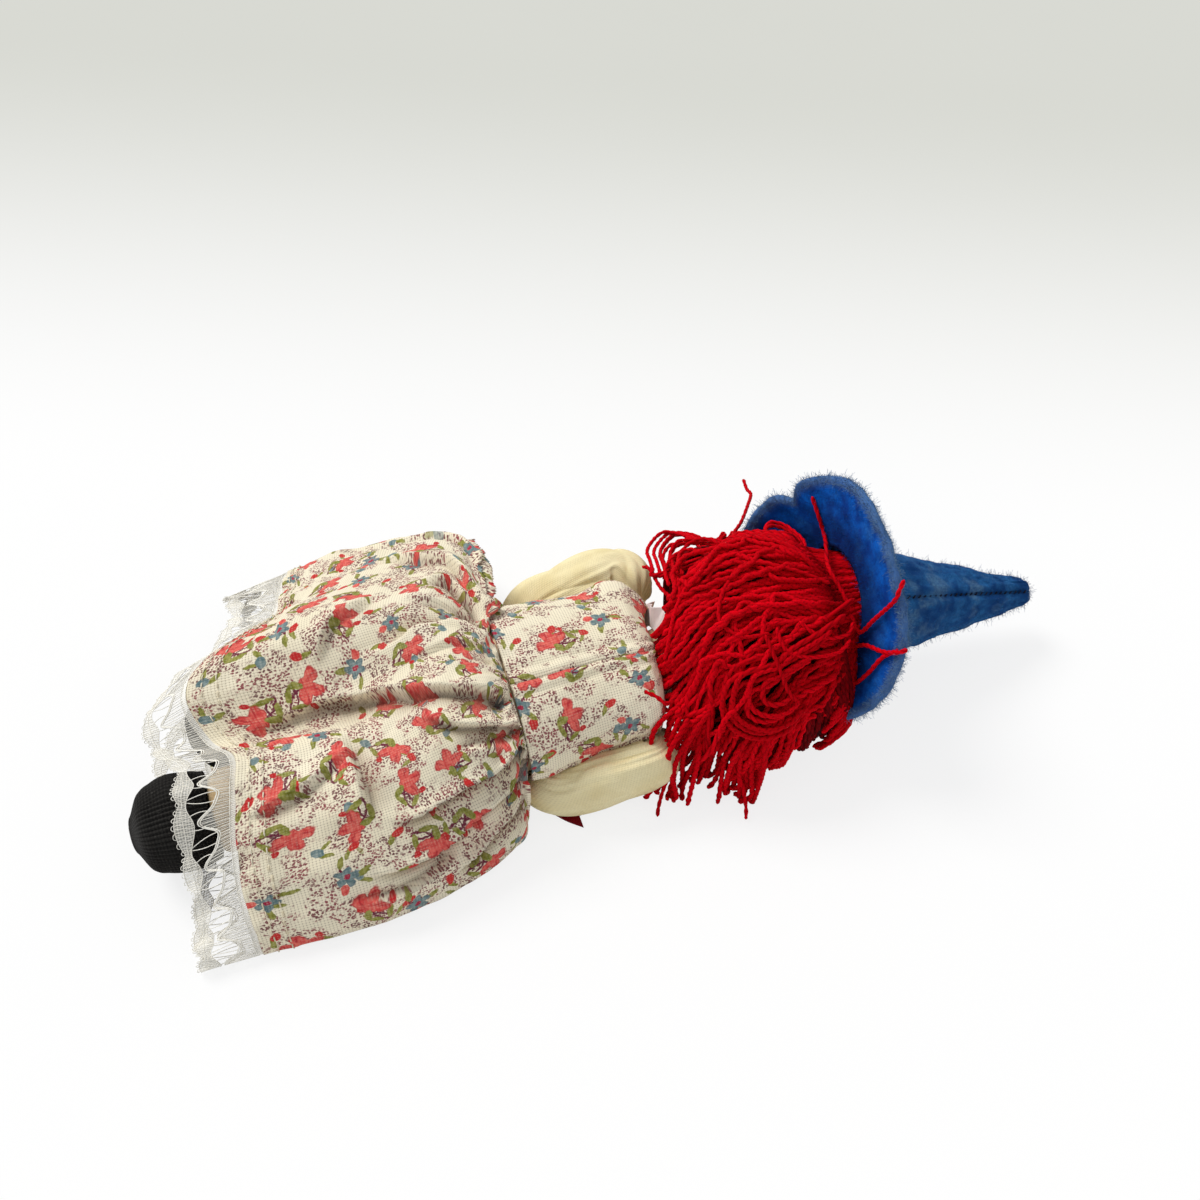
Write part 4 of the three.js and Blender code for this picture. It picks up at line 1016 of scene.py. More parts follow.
def arm_places(side):
    """Shoulder, elbow, cuff and hand of one arm; the right arm lies nearer to the waist."""
    shoulder = np.array([SHOULDER_ALONG - (RIGHT_DRAW if side < 0 else 0),
                         -SHOULDER_OUT if side < 0 else SHOULDER_OUT + LEFT_SPREAD,
                         SHOULDER_HEIGHT + side * SHOULDER_TILT])
    back = SHOULDER_ALONG - shoulder[0]
    elbow = np.array([ELBOW[0] - back, shoulder[1], ELBOW[1] + side * SHOULDER_TILT / 2])
    cuff = np.array([CUFF[0] - back, shoulder[1] - side * (SHOULDER_OUT - CUFF[1]), CUFF[2]])
    hand = np.array([HAND[0] - back, side * HAND[1], HAND[2]])
    return shoulder, elbow, cuff, hand


for side, word in SIDES:
    shoulder, elbow, cuff, hand = arm_places(side)
    path = [shoulder + [ARM_RADIUS * 0.8, 0, 0], shoulder, elbow, cuff, hand]
    thick = ARM_RADIUS - (RIGHT_PRESS if side < 0 else 0)
    radii = np.array([*(arm_radius_shares * thick), WRIST_RADIUS,
                      *(hand_radius_shares * HAND_RADIUS)])
    flat = np.where(np.arange(len(radii)) > len(arm_radius_shares),
                    np.minimum(radii, MITTEN_FLATNESS * HAND_RADIUS), radii)
    points = along_path(path, radii - 0.1, flat - 0.1, 48, 40)
    arm = stuffed(f"arm_{word}_stuffed", points, shrink=0.2, cap=0.4)
    dress(arm, body_cloth, f"arm_{word}", "body_cloth", f"arm_{word}")

# %% Legs and shoes
LEG_RADIUS, LEG_TOP_WIDTH, LEG_HEIGHT, LEG_SPACING, LEG_LENGTH = 11.8, 19, 14.2, 22, 60.4
RIGHT_FOOT_OUT, LEFT_FOOT_OUT, LEFT_KNEE_OUT, LEFT_FOOT_PULL = 8.5, 18.8, 19.5, 17.5
SHOE_RADIUS, SHOE_LENGTH, SHOE_HEIGHT = 12.4, 20, 14
RIBS, RIB_HEIGHT = 60, 0.34
leg_reach_shares = [0.14, 0.5, 0.84]
leg_width_shares = [0.84, 0.94, 0.98, 1, 0.99, 0.96, 0.92]
leg_height_shares = [0.02, 0.62, 0.92, 1, 1, 0.99, 0.96, 0.92]
shoe_radius_shares = [0.93, 0.99, 1, 0.99, 0.93, 0.8, 0.3]


def leg_places(side):
    """Hip, three places on the way and ankle of one leg; the left leg is bent and shorter."""
    hip = -HIP_LENGTH - 2 * GAP
    root = side * LEG_SPACING / 2
    foot = -RIGHT_FOOT_OUT if side < 0 else LEFT_FOOT_OUT
    knee = (root + foot) / 2 if side < 0 else LEFT_KNEE_OUT
    reach = LEG_LENGTH - (0 if side < 0 else LEFT_FOOT_PULL)
    outs = [root, lerp(root, knee, 0.12), knee, lerp(knee, foot, 0.85), foot]
    shares = [0, *leg_reach_shares, 1]
    heights = [HIP_HEIGHT] + [LEG_HEIGHT] * 4
    return np.array([[hip - reach * s, out, high] for s, out, high in zip(shares, outs, heights)])


for side, word in SIDES:
    path = leg_places(side)
    wides = np.array([LEG_TOP_WIDTH / 2, *(s * LEG_RADIUS for s in leg_width_shares)]) - 0.1
    talls = np.array(leg_height_shares) * LEG_RADIUS - 0.05
    leg = stuffed(f"leg_{word}_stuffed", along_path(path, wides, talls, 60, 64))
    dress(leg, leg_cloth, f"leg_{word}", "leg_cloth", f"leg_{word}")

    ankle = path[-1]
    share = np.append(np.linspace(0, 1, 106), [1.012, 1.02, 1.024])
    turn = angles(300)
    radius = spline(np.array(shoe_radius_shares) * SHOE_RADIUS, share)
    radius *= 1 + 0.2 * smoothstep(share, 0.8, 1)
    radius[-3:] *= [0.86, 0.62, 0.1]
    toe = 1 - 0.7 * smoothstep(share, 0.7, 1)
    ribs = RIB_HEIGHT * toe[:, None] * np.cos(RIBS * turn + 2.2 * share[:, None])
    dents = 0.5 * waves(turn[None] * 9, share[:, None] * 20, 31 + side, 16)
    reach = radius[:, None] + ribs + (dents - 0.3) * np.minimum(1, radius[:, None] / 8)
    x = ankle[0] - GAP - SHOE_LENGTH * share[:, None]
    points = lathe(x, reach, turn, (ankle[1], SHOE_HEIGHT))
    shoe = surface(f"shoe_{word}_knit", points, arc_uv(points, True), wrap_cols=True, ends=True)
    dress(shoe, shoe_knit, f"leg_{word}", "shoe_knit", f"shoe_{word}")
print("limbs made")

# %% [markdown]
# ## The bodice
#
# Three calico panels are stretched over the torso and meet at the back in a turned seam.
# Each is a patch of the torso's own surface, moved out by a fraction of a millimetre, with
# soft wrinkles that start at the waist and a ridge where its edge is turned under. Beside
# the left shoulder the cloth stands further out, over the hidden corner of the armhole.

# %% Bodice panels
BODICE_TOP = 39.4
BODICE_WALL = 0.55
BACK_SEAM = -20.0
BODICE_RADIUS = 22
BODICE_MIDDLE = [20, 0, 21]


def bodice_panel(name, from_deg, to_deg, node):
    """Torso surface between two angles from the middle of the back, with seam ridges."""
    columns = int((to_deg - from_deg) / 1.1)
    along, turn = grid(np.linspace(GAP, BODICE_TOP, 72),
                       np.radians(np.linspace(from_deg + 0.03, to_deg - 0.03, columns)))
    base = torso_point(along, turn, GAP + 0.95)
    edge = (np.minimum(np.degrees(turn) - from_deg, to_deg - np.degrees(turn)) - 0.5) * 0.4
    ridge = 0.5 * bump(edge, 1.3, 1.0) - 0.1 * bump(edge, 0, 0.7) - 0.35 * bump(edge, 3.4, 0.9)
    arc = turn * BODICE_RADIUS
    soft = 0.45 * waves(along * 1.6, arc * 0.7, 5, 17) + 0.22 * waves(along, arc, 6, 7)
    tucks = 0.45 * np.abs(np.sin(arc / 1.5 + 0.8 * waves(along, arc, 8, 11))) * (
        np.exp(-(along - GAP) / 3.2))
    pull = 0.35 * waves(along * 0.6 + arc * 0.5, arc * 0.4, 9, 6) * (
        np.exp(-(BODICE_TOP - along) / 7))
    corner = 4.0 * smoothstep(along, 24, 38) * bump(np.degrees(turn), 62, 34)
    points = pushed(base, ridge + 0.6 * soft + tucks + pull + corner - 0.1, BODICE_MIDDLE)
    u, v = arc_uv(points, u0=140 + from_deg * 0.4, v0=30)
    panel = solidify(surface(name, points, (v, u), middle=BODICE_MIDDLE), BODICE_WALL)
    dress(panel, calico, "torso", "calico", node)


bodice_panel("bodice_panel_left", BACK_SEAM, 78, "bodice_back_left")
bodice_panel("bodice_panel_right", -110, BACK_SEAM, "bodice_back_right")
bodice_panel("bodice_panel_front", 78, 250, "bodice_front")
print("bodice panels made")

# %% [markdown]
# ## Puffed sleeves
#
# A puffed sleeve is a wide tube gathered at the shoulder and the cuff, so it is fullest in
# between. Its top turns into the armhole, under the bodice, so that no gap opens when the
# arm swings out. Its pleats are sharp in the valleys and round on top: the absolute value of
# a sine has just that shape. The cuff is a raw torn edge with short loose threads.

# %% Sleeves
SLEEVE_PUFF, SLEEVE_WIDTH, SLEEVE_CUFF, RIGHT_SLEEVE_SINK = 10.2, 7.4, 6.8, 1.6
ARMHOLE_DEPTH, CUFF_END_HEIGHT, CLOTH = 11, 5.4, 0.5
LEFT_SWELL, RIGHT_TUCK = np.array([-1.0, 5.0, 1.0]), 1.3
SLEEVE_PLEATS, SLEEVE_FOLDS, FRAYED_ENDS = 12, 3, 46
sleeve_width_shares = [0.12, 0.84, 0.98, 1, 1, 1, 0.96, 0.8]
sleeve_height_shares = [0.08, 0.7, 0.92, 1, 0.98, 0.86]


def valleys(x, power=0.7):
    """Round hills with sharp valleys at whole numbers, from -0.64 to 0.36."""
    return np.abs(np.sin(math.pi * x)) ** power - 0.64


for side, word in SIDES:
    shoulder, elbow, cuff, hand = arm_places(side)
    path = [shoulder + [3 + 2 * (side > 0), -side * ARMHOLE_DEPTH, 1],
            shoulder + [2 + (side > 0), -side, 0], elbow,
            cuff + [0, 0, GAP], lerp(cuff, hand, 0.8) + [0, 0, GAP]]
    wides = np.array(sleeve_width_shares) * (SLEEVE_WIDTH - (RIGHT_PRESS if side < 0 else 0))
    puff = SLEEVE_PUFF - (RIGHT_SLEEVE_SINK if side < 0 else 0)
    talls = np.array([*(s * puff for s in sleeve_height_shares), SLEEVE_CUFF, CUFF_END_HEIGHT])
    rows, around = 90, 220
    base = along_path(path, wides, talls, rows, around)
    share = np.linspace(0, 1, rows)[:, None]
    turn = np.arange(around)[None] / around
    east, north = 7 * np.cos(TAU * turn), 7 * np.sin(TAU * turn)
    wander = waves(share * 26 + east, north, 40 + side, 22)
    pleats = 0.7 * valleys(SLEEVE_PLEATS * turn + 0.5 * wander) * (
        np.exp(-share / 0.16) + 0.5 * np.exp(-(1 - share) / 0.14))
    folds = 1.2 * valleys(SLEEVE_FOLDS * turn + 0.35 + 0.7 * wander + 0.25 * share, 0.6) * (
        np.sin(math.pi * share) ** 0.5)
    soft = 0.55 * waves(share * 26 + east, north, 50 + side, 13) + (
        0.28 * waves(share * 26, 3 * east, 52 + side, 6))
    ends = smoothstep(share, 0, 0.12)
    points = pushed(base, (pleats + folds + soft) * ends - 0.15, base.mean((0, 1)), True)
    fray = 0.9 * np.abs(waves(turn * 44 + 0 * share, share * 0, 60 + side, 2.2))
    points[..., 0] += fray * smoothstep(share, 0.93, 1)
    if side > 0:
        off_path = points[..., 1] - spline(np.array(path)[:, 1], share)
        outer = smoothstep(off_path / SLEEVE_WIDTH, -0.2, 1)
        swell = np.sin(math.pi * share ** 1.7) ** 0.7 * outer
        points += LEFT_SWELL * swell[..., None]
    else:
        points[..., 1] += RIGHT_TUCK * np.sin(math.pi * share)
    keep_above(points, 1.3 if side < 0 else 0.3)
    sleeve = solidify(surface(f"sleeve_{word}_cotton", points, arc_uv(points, True), wrap_cols=True,
                              middle=base.mean((0, 1))), CLOTH)
    dress(sleeve, sleeve_cotton, None, "sleeve_cotton", f"sleeve_{word}")
    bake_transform(sleeve)

    seat = rng.integers(0, around, FRAYED_ENDS)
    root = points[-1, seat]
    reach = rng.uniform(0.8, 2.6, FRAYED_ENDS)[:, None]
    drift = rng.normal(0, 0.5, (FRAYED_ENDS, 3))
    ways = np.stack([root + [0.5, 0, 0], root, root + reach * ([-0.6, 0, 0] + drift * 0.5),
                     root + reach * ([-1.0, 0, -0.1] + drift)], 1)
    keep_above(ways, 0.25)
    fringe = threads(f"sleeve_{word}_frayed_ends", smooth_ways(ways, 7), 0.07, sides=4)
    dress(fringe, sleeve_cotton, f"arm_{word}", "sleeve_cotton")
print("sleeves made")

# %% [markdown]
# ## The collar
#
# A small frill stands round the neck: a ring of thin cotton, longer at its outer edge than
# the circle it fills, so it has to wave.

# %% Collar
COLLAR_INNER, COLLAR_OUTER, COLLAR_ALONG, COLLAR_FLARE = 8.2, 16.4, 41.6, 3.6
COLLAR_WAVE, COLLAR_WAVES = 1.1, 9
share, turn = grid(np.linspace(0, 1, 26), angles(420))
far_side = 0.5 + 0.5 * np.sin(turn)
radius = lerp(COLLAR_INNER, COLLAR_OUTER - 2.5 * far_side, share)
frill = COLLAR_WAVE * share * (np.sin(COLLAR_WAVES * turn) + 0.55 * np.sin(23 * turn + 1.3) * share)
along = COLLAR_ALONG + (COLLAR_FLARE - 2.4 * far_side) * share + frill
collar = surface("collar_frill", lathe(along, radius, turn, (-HEAD_SIDEWAYS, NECK_HEIGHT)),
                 arc_uv(lathe(along, radius, turn), True),
                 wrap_cols=True, middle=[0, -HEAD_SIDEWAYS, NECK_HEIGHT])
solidify(collar, 0.35)
dress(collar, collar_cotton, "neck", "collar_cotton", "collar")
print("collar made")

# %% [markdown]
# ## The ribbon bow
#
# A satin bow ties the waist in front, under the doll. One end lies on the table at the near
# side, cut with a notch. Ribbon is a strip along a path, so each loop and tail is a strip
# of two parameters: the way along it and the way across it.

# %% Ribbon
RIBBON_WIDTH, RIBBON_WALL, BOW_ALONG, KNOT_LENGTH, KNOT_HEIGHT = 6, 0.8, 4.5, 6, 4
LOOP_LENGTH, LOOP_HEIGHT = 13, 3.6
NOTCH, SATIN = 2.6, 0.25
knot_middle = np.array([BOW_ALONG, 0, RIBBON_WALL + GAP + KNOT_HEIGHT / 2])
share = np.linspace(0, 1, 30)[:, None]
turn = angles(40)[None]
swell = 0.75 + 0.25 * np.sin(math.pi * share) + 0.06 * np.cos(5 * turn + 4 * share)
knot_points = knot_middle + np.stack([
    swell * RIBBON_WIDTH / 2 * 0.92 * np.cos(turn), (share - 0.5) * KNOT_LENGTH * 0.96 + 0 * turn,
    swell * KNOT_HEIGHT / 2 * 0.92 * np.sin(turn)], -1)
knot = surface("ribbon_knot_satin", knot_points, arc_uv(knot_points, True), wrap_cols=True,
               ends=True)
dress(knot, ribbon_satin, "torso", "ribbon_satin", "ribbon_knot")


def tail(word, path, seed):
    """A ribbon end: middle of the path + sideways x half width x across, with a V cut out."""
    share, across = grid(np.linspace(0, 1, 70), np.linspace(-1, 1, 17))
    middle = spline(path, share)
    ahead = unit(np.gradient(middle, axis=0))
    side = unit(np.cross([0, 0, 1.0], ahead))
    points = middle + side * (RIBBON_WIDTH / 2 * 0.97 * across)[..., None]
    points -= ahead * (NOTCH * (1 - np.abs(across)) * smoothstep(share, 0.8, 1))[..., None]
    points[..., 2] += 0.18 * waves(share * 30, across * 3, seed, 6)
    ribbon = solidify(surface(f"ribbon_tail_{word}_satin", points, arc_uv(points),
                              middle=[0, 0, -100]), SATIN)
    dress(ribbon, ribbon_satin, "torso", "ribbon_satin", f"ribbon_tail_{word}")


for side, word in SIDES:
    low, high = RIBBON_WALL + GAP + 0.5, RIBBON_WALL + GAP + LOOP_HEIGHT - 0.4
    near, far = KNOT_LENGTH / 2 + GAP, KNOT_LENGTH / 2 + GAP + LOOP_LENGTH
    loop = [[BOW_ALONG, side * near, low + 0.6], [BOW_ALONG, side * lerp(near, far, 0.5), low],
            [BOW_ALONG, side * (far - 1), low + 0.3], [BOW_ALONG, side * far, (low + high) / 2],
            [BOW_ALONG, side * (far - 1), high - 0.2],
            [BOW_ALONG, side * lerp(near, far, 0.5), high],
            [BOW_ALONG, side * near, high - 0.9]]
    share = np.linspace(0, 1, 90)[:, None]
    middle = spline(loop, share[:, 0])
    across = np.linspace(-1, 1, 15)
    half = spline(np.array([0.5, 0.8, 0.97, 1, 0.97, 0.8, 0.5]) * RIBBON_WIDTH / 2 * 0.98,
                  share[:, 0])
    points = middle[:, None] + np.array([1.0, 0, 0]) * (half[:, None] * across)[..., None]
    bow = solidify(surface(f"ribbon_loop_{word}_satin", points, arc_uv(points),
                           middle=[BOW_ALONG, side * (near + far) / 2, (low + high) / 2]), SATIN)
    dress(bow, ribbon_satin, "torso", "ribbon_satin", f"ribbon_loop_{word}")

bend, lift = 0.6, 0.45
tails = ("left", 1, 26.0, BOW_ALONG, 0.026), ("right", -1, 31.5, 13.5, 0.034)
for word, side, reach, rise, length in tails:
    start = RIBBON_WIDTH / 2 + GAP
    a = np.array([BOW_ALONG - start, side * start])
    b = np.array([BOW_ALONG - RIBBON_WIDTH, side * reach * bend])
    c = np.array([rise, side * reach])
    t = np.linspace(0, 1, 9)[:, None]
    curve = (1 - t) ** 2 * a + 2 * t * (1 - t) * b + t ** 2 * c
    path = np.concatenate([curve, np.full((9, 1), lift)], 1)
    tail(word, path, seed=20 + side)
print("ribbon made")

# %% [markdown]
# ## The gathered skirt
#
# The skirt is a long rectangle of calico, sewn into a tube and pulled together at the waist.
# The big forms come from short tables: how far each line down the skirt reaches, and how
# high it stands. Three sets of pleats are then pushed out of that surface: tight gathers at
# the seam, middle pleats that fade out, and a few long creases that reach the hem.

# %% The skirt's large forms
SKIRT_LENGTH, SKIRT_NEAR, SKIRT_FAR, SKIRT_RISE = 80, 45, 77, 38.8
REST_CUT = 0.5
skirt_along_shares = [
    [0] * 13,
    [0.075, 0.1, 0.14, 0.165, 0.175, 0.175, 0.165, 0.15, 0.11, 0.06, 0.01, -0.03, -0.05],
    [0.5, 0.5, 0.5, 0.5, 0.5, 0.51, 0.525, 0.54, 0.5, 0.43, 0.38, 0.35, 0.34],
    [0.93, 0.94, 0.92, 0.89, 0.875, 0.945, 0.99, 0.925, 0.775, 0.67, 0.63, 0.6, 0.575],
]
skirt_top_shares = [
    [0.99] * 13,
    [0.3, 0.62, 0.87, 0.97, 1, 0.98, 1, 1, 0.93, 0.84, 0.79, 0.75, 0.7],
    [0.45, 0.66, 0.8, 0.82, 0.77, 0.66, 0.82, 0.94, 0.84, 0.7, 0.6, 0.55, 0.48],
    [0.36, 0.5, 0.67, 0.77, 0.77, 0.65, 0.81, 0.82, 0.7, 0.52, 0.42, 0.36, 0.28],
]
skirt_edge_shares = [0.56, 0.13, 0.07, 0.055]
skirt_near_shares = [0.61, 0.85, 1, 0.98]
skirt_far_shares = [0.357, 0.83, 0.99, 1]
skirt_floor_shares = [0.085, 0, 0, 0]


def skirt_place(around):
    """Share of the way across the skirt, from its near edge to its far edge, for a share of
    the way round it, and whether that is on its upper side."""
    top = around < 0.5
    straight = np.where(top, 4 * around - 1, 3 - 4 * around)
    return (0.5 * straight - 0.5 * np.cos(TAU * around) + 1) / 2, top


def skirt_base(down, around):
    """A flattened tube: across it goes from near to far, and up from its floor to its top
    along a curve that is an ellipse at the waist and squarer towards the hem."""
    around = around % 1.0
    place, top = skirt_place(around)
    near = spline(skirt_near_shares, down) * SKIRT_NEAR
    far = spline(skirt_far_shares, down) * SKIRT_FAR
    edge = spline(skirt_edge_shares, down) * SKIRT_RISE
    highest = spline_table(skirt_top_shares, down, place) * SKIRT_RISE
    lowest = np.maximum(0, spline(skirt_floor_shares, down)) * SKIRT_RISE
    power = 2 + 4 * smoothstep(down, 0, 0.33)
    curve = np.sqrt(np.maximum(0, 1 - np.abs(2 * place - 1) ** power))
    height = np.where(top, edge + (highest - edge) * curve, edge + (lowest - edge) * curve)
    along = -GAP - spline_table(skirt_along_shares, down, place) * SKIRT_LENGTH
    return np.stack([along, lerp(-near, far, place), np.maximum(0, height - REST_CUT)], -1)


ROWS, AROUND = 120, 400
row_shares = np.linspace(0, 1, ROWS) ** 1.15
down, around = grid(row_shares, np.arange(AROUND) / AROUND)
place, top = skirt_place(around)
big_form = skirt_base(down, around)
print("skirt spans", np.ptp(big_form.reshape(-1, 3), axis=0).round(1), "mm")

# %% Its pleats and creases
SEAM_GATHERS, MIDDLE_PLEATS, LOW_WAVES = 46, 27, 9
drift = 0.5 * waves(around * 260, down * 80, 71, 60) + 0.25 * waves(around * 260, down * 80, 72, 25)
seam_gathers = 0.95 * valleys(SEAM_GATHERS * around + 0.9 * drift, 0.8) * (
    np.exp(-down / 0.075)) * (1 - 0.6 * smoothstep(place, 0.8, 0.95))
pleats = 0.9 * valleys(MIDDLE_PLEATS * around + 1.3 * drift + 0.6 * down, 0.75) * (
    smoothstep(down, 0.0, 0.09) * np.exp(-(down / 0.28) ** 1.6))
waves_low = 0.9 * valleys(LOW_WAVES * around + 1.4 * drift - 0.5 * down, 0.95) * (
    smoothstep(down, 0.08, 0.3) * (1 - 0.3 * smoothstep(down, 0.55, 0.95)))
crumple = 0.5 * waves(around * 260, down * 80, 73, 14) * smoothstep(down, 0.05, 0.3)
fine = 0.14 * waves(around * 260, down * 80, 74, 4)

FOLD_STEPS = 48
half_round = AROUND // 2
around_top = np.linspace(0, 0.5, 400)
place_top = skirt_place(around_top)[0]
cloth_up = grid_normals(big_form, True)[:, :half_round]
cloth_up = cloth_up if cloth_up[..., 2].mean() > 0 else -cloth_up


def fold(spots, lap, dip, turned, lap_wide, dip_wide, fades):
    """A line along which cloth laps over itself: it stands up by lap on one side and lies low
    by dip on the other, over widths of their own, and fades in and out along the line. Spots
    are (down, place) pairs; turned -1 lifts the far side."""
    way = spline(np.array(spots), np.linspace(0, 1, FOLD_STEPS))
    line = skirt_base(way[:, 0], np.interp(way[:, 1], place_top, around_top))
    ahead = unit(np.gradient(line, axis=0))
    offset = big_form[:, :half_round, None] - line
    nearest = np.argmin(np.einsum("ijkl,ijkl->ijk", offset, offset), axis=2)
    gap = np.take_along_axis(offset, nearest[..., None, None], 2)[:, :, 0]
    past = np.abs(np.einsum("ijk,ijk->ij", gap, ahead[nearest]))
    side = turned * np.einsum("ijk,ijk->ij", np.cross(ahead[nearest], gap), cloth_up)
    share = nearest / (FOLD_STEPS - 1)
    fade = smoothstep(share, -0.001, fades[0]) * (1 - smoothstep(share, 1 - fades[1], 1))
    fade = fade * np.exp(-(np.maximum(0, past - 1.5) / 2) ** 2)
    lapped = 0.5 + 0.5 * np.tanh(side / 0.4)
    raised = lapped * lap * np.exp(-np.abs(side) / lap_wide)
    lowered = (1 - lapped) * dip * np.exp(-np.abs(side) / dip_wide)
    amount = (raised - lowered) * fade
    return np.concatenate([amount, np.zeros_like(amount)], 1)


# Places on the line, then lap, dip, turned, their widths and the fades.
main_folds = [
    ([(0.03, 0.26), (0.2, 0.285), (0.31, 0.303), (0.4, 0.33), (0.48, 0.363), (0.55, 0.4),
      (0.62, 0.426), (0.73, 0.439), (0.88, 0.41), (0.98, 0.38)],
     1.6, 3.4, -1, 5.0, 3.6, (0.05, 0.35)),
    ([(0.02, 0.16), (0.17, 0.175), (0.34, 0.209), (0.42, 0.245), (0.475, 0.282)],
     1.5, 1.6, -1, 3.5, 1.8, (0.05, 0.3)),
    ([(0.05, 0.13), (0.2, 0.14), (0.33, 0.165), (0.42, 0.17)],
     1.0, 1.2, 1, 2.5, 1.5, (0.05, 0.3)),
    ([(0.1, 0.105), (0.275, 0.111), (0.375, 0.115), (0.485, 0.113), (0.575, 0.104),
      (0.64, 0.109)],
     1.8, 2.4, -1, 3.0, 1.3, (0.05, 0.3)),
    ([(0.1, 0.07), (0.27, 0.072), (0.365, 0.076), (0.455, 0.068), (0.53, 0.052), (0.63, 0.046),
      (0.74, 0.05)],
     1.8, 2.6, -1, 3.0, 1.3, (0.04, 0.25)),
    ([(0.15, 0.04), (0.3, 0.041), (0.38, 0.039), (0.46, 0.024), (0.53, 0.013)],
     1.5, 2.2, -1, 2.2, 1.2, (0.05, 0.25)),
    ([(0.5, 0.04), (0.585, 0.025), (0.68, 0.02), (0.78, 0.03)],
     1.0, 1.2, 1, 2.2, 1.4, (0.2, 0.3)),
    ([(0.02, 0.56), (0.165, 0.558), (0.32, 0.529), (0.41, 0.526), (0.46, 0.503), (0.53, 0.5),
      (0.6, 0.51)],
     1.5, 1.7, 1, 4.0, 2.4, (0.08, 0.4)),
    ([(0.03, 0.63), (0.16, 0.621), (0.28, 0.605), (0.375, 0.6), (0.46, 0.624)],
     1.3, 1.5, -1, 3.0, 2.0, (0.08, 0.35)),
    ([(0.03, 0.71), (0.145, 0.703), (0.22, 0.685), (0.28, 0.705), (0.35, 0.691), (0.42, 0.673)],
     1.9, 2.8, -1, 3.6, 2.8, (0.05, 0.3)),
    ([(0.03, 0.74), (0.145, 0.72), (0.3, 0.772), (0.435, 0.794), (0.52, 0.83), (0.6, 0.83)],
     1.7, 2.0, -1, 4.0, 2.4, (0.05, 0.35)),
    ([(0.03, 0.82), (0.16, 0.86), (0.3, 0.89), (0.45, 0.91), (0.6, 0.92)],
     1.3, 1.6, -1, 3.4, 2.2, (0.05, 0.35)),
    ([(0.03, 0.48), (0.14, 0.48), (0.26, 0.46), (0.4, 0.445), (0.55, 0.47)],
     1.0, 1.2, -1, 3.4, 2.2, (0.05, 0.5)),
    ([(0.03, 0.38), (0.14, 0.385), (0.26, 0.39), (0.38, 0.41)],
     0.9, 1.1, 1, 3.0, 1.8, (0.05, 0.5)),
    ([(0.7, 0.5), (0.62, 0.58), (0.56, 0.61), (0.5, 0.65)],
     1.6, 1.2, 1, 6.0, 5.0, (0.25, 0.3)),
    ([(0.75, 0.56), (0.8, 0.66), (0.86, 0.76), (0.93, 0.82)],
     1.0, 1.0, -1, 6.0, 4.0, (0.3, 0.3)),
    ([(0.7, 0.33), (0.69, 0.25), (0.68, 0.17), (0.68, 0.12)],
     1.2, 1.2, -1, 7.0, 5.0, (0.3, 0.3)),
    ([(0.66, 0.29), (0.75, 0.24), (0.84, 0.21), (0.95, 0.19)],
     0.9, 1.0, -1, 5.0, 4.0, (0.3, 0.2)),
]
draw = np.random.default_rng(77)
creases = sum(fold(*line) for line in main_folds)
creases = creases * (1.35 + 0.9 * (1 - smoothstep(place, 0.2, 0.3)))
for start in np.linspace(0.05, 0.86, 17):
    start, reach = start + draw.uniform(-0.012, 0.012), draw.uniform(0.16, 0.42)
    lean = draw.uniform(-0.05, 0.05)
    line = [(0.01, start), (reach * 0.4, start + lean * 0.3), (reach, start + lean)]
    creases = creases + fold(line, draw.uniform(0.5, 1.0), draw.uniform(0.5, 1.0),
                             draw.choice([-1, 1]), 2.0, 1.3, (0.02, 0.6))
above = smoothstep(big_form[..., 2], 0.5, 7)
hem_step = 0.35 * smoothstep(down, 0.885, 0.9)
pinch = -1.0 * np.exp(-down / 0.018)
relief = seam_gathers + pleats + waves_low + crumple + creases
amount = relief * (0.25 + 0.75 * above) + hem_step + fine + pinch
points = pushed(big_form, amount, big_form.mean((0, 1)), True)
corner = (1 - smoothstep(place, 0.0, 0.24)) * bump(down, 0.3, 0.2)
points += np.array([-1.5, 2.0, 0]) * corner[..., None]
keep_above(points, 0.25)
skirt_points = points
# Painted shade for the calico: strongest on the low side of each crease and in the gathers at the
# waist seam.
painted_crease_shade = np.clip(-creases - 0.35, 0, 2.2) / 2.2 + (
    0.5 * np.exp(-down / 0.02) * np.clip(-seam_gathers, 0, 1))
skirt = solidify(surface("skirt_calico", points, arc_uv(big_form, True), wrap_cols=True,
                         marks={"painted_crease_shade": painted_crease_shade}), 0.5)
dress(skirt, calico, None, "calico", "skirt")
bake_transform(skirt)
print("skirt pieces:", len(skirt.data.polygons))

# %% [markdown]
# ## Hem stitches
#
# The hem is turned up and held by two rows of cream running stitches, which also hold the
# lace. Each stitch is a short thread that dips into the cloth at both ends, so one small
# tube is made for each and all of them share a mesh.

# %% Two rows of stitches
def on_skirt(row_share, around_share, lift):
    """A point on the finished skirt, found between its rows and columns, and lifted."""
    row = np.interp(row_share, row_shares, np.arange(ROWS))
    col = (around_share % 1.0) * AROUND
    r0, c0 = np.minimum(row.astype(int), ROWS - 2), col.astype(int) % AROUND
    fr, fc = (row - r0)[..., None], (col - np.floor(col))[..., None]
    c1 = (c0 + 1) % AROUND
    low = lerp(skirt_points[r0, c0], skirt_points[r0, c1], fc)
    high = lerp(skirt_points[r0 + 1, c0], skirt_points[r0 + 1, c1], fc)
    corner = skirt_points[r0, c0]
    normal = unit(np.cross(skirt_points[r0, c1] - corner, skirt_points[r0 + 1, c0] - corner))
    return lerp(low, high, fr) + normal * (stitch_side * lift)[..., None]


middle_row = skirt_points[ROWS // 2]
step = np.cross(middle_row[1] - middle_row[0], skirt_points[ROWS // 2 + 1, 0] - middle_row[0])
stitch_side = -1.0 if np.dot(step, middle_row[0] - big_form.mean((0, 1))) < 0 else 1.0

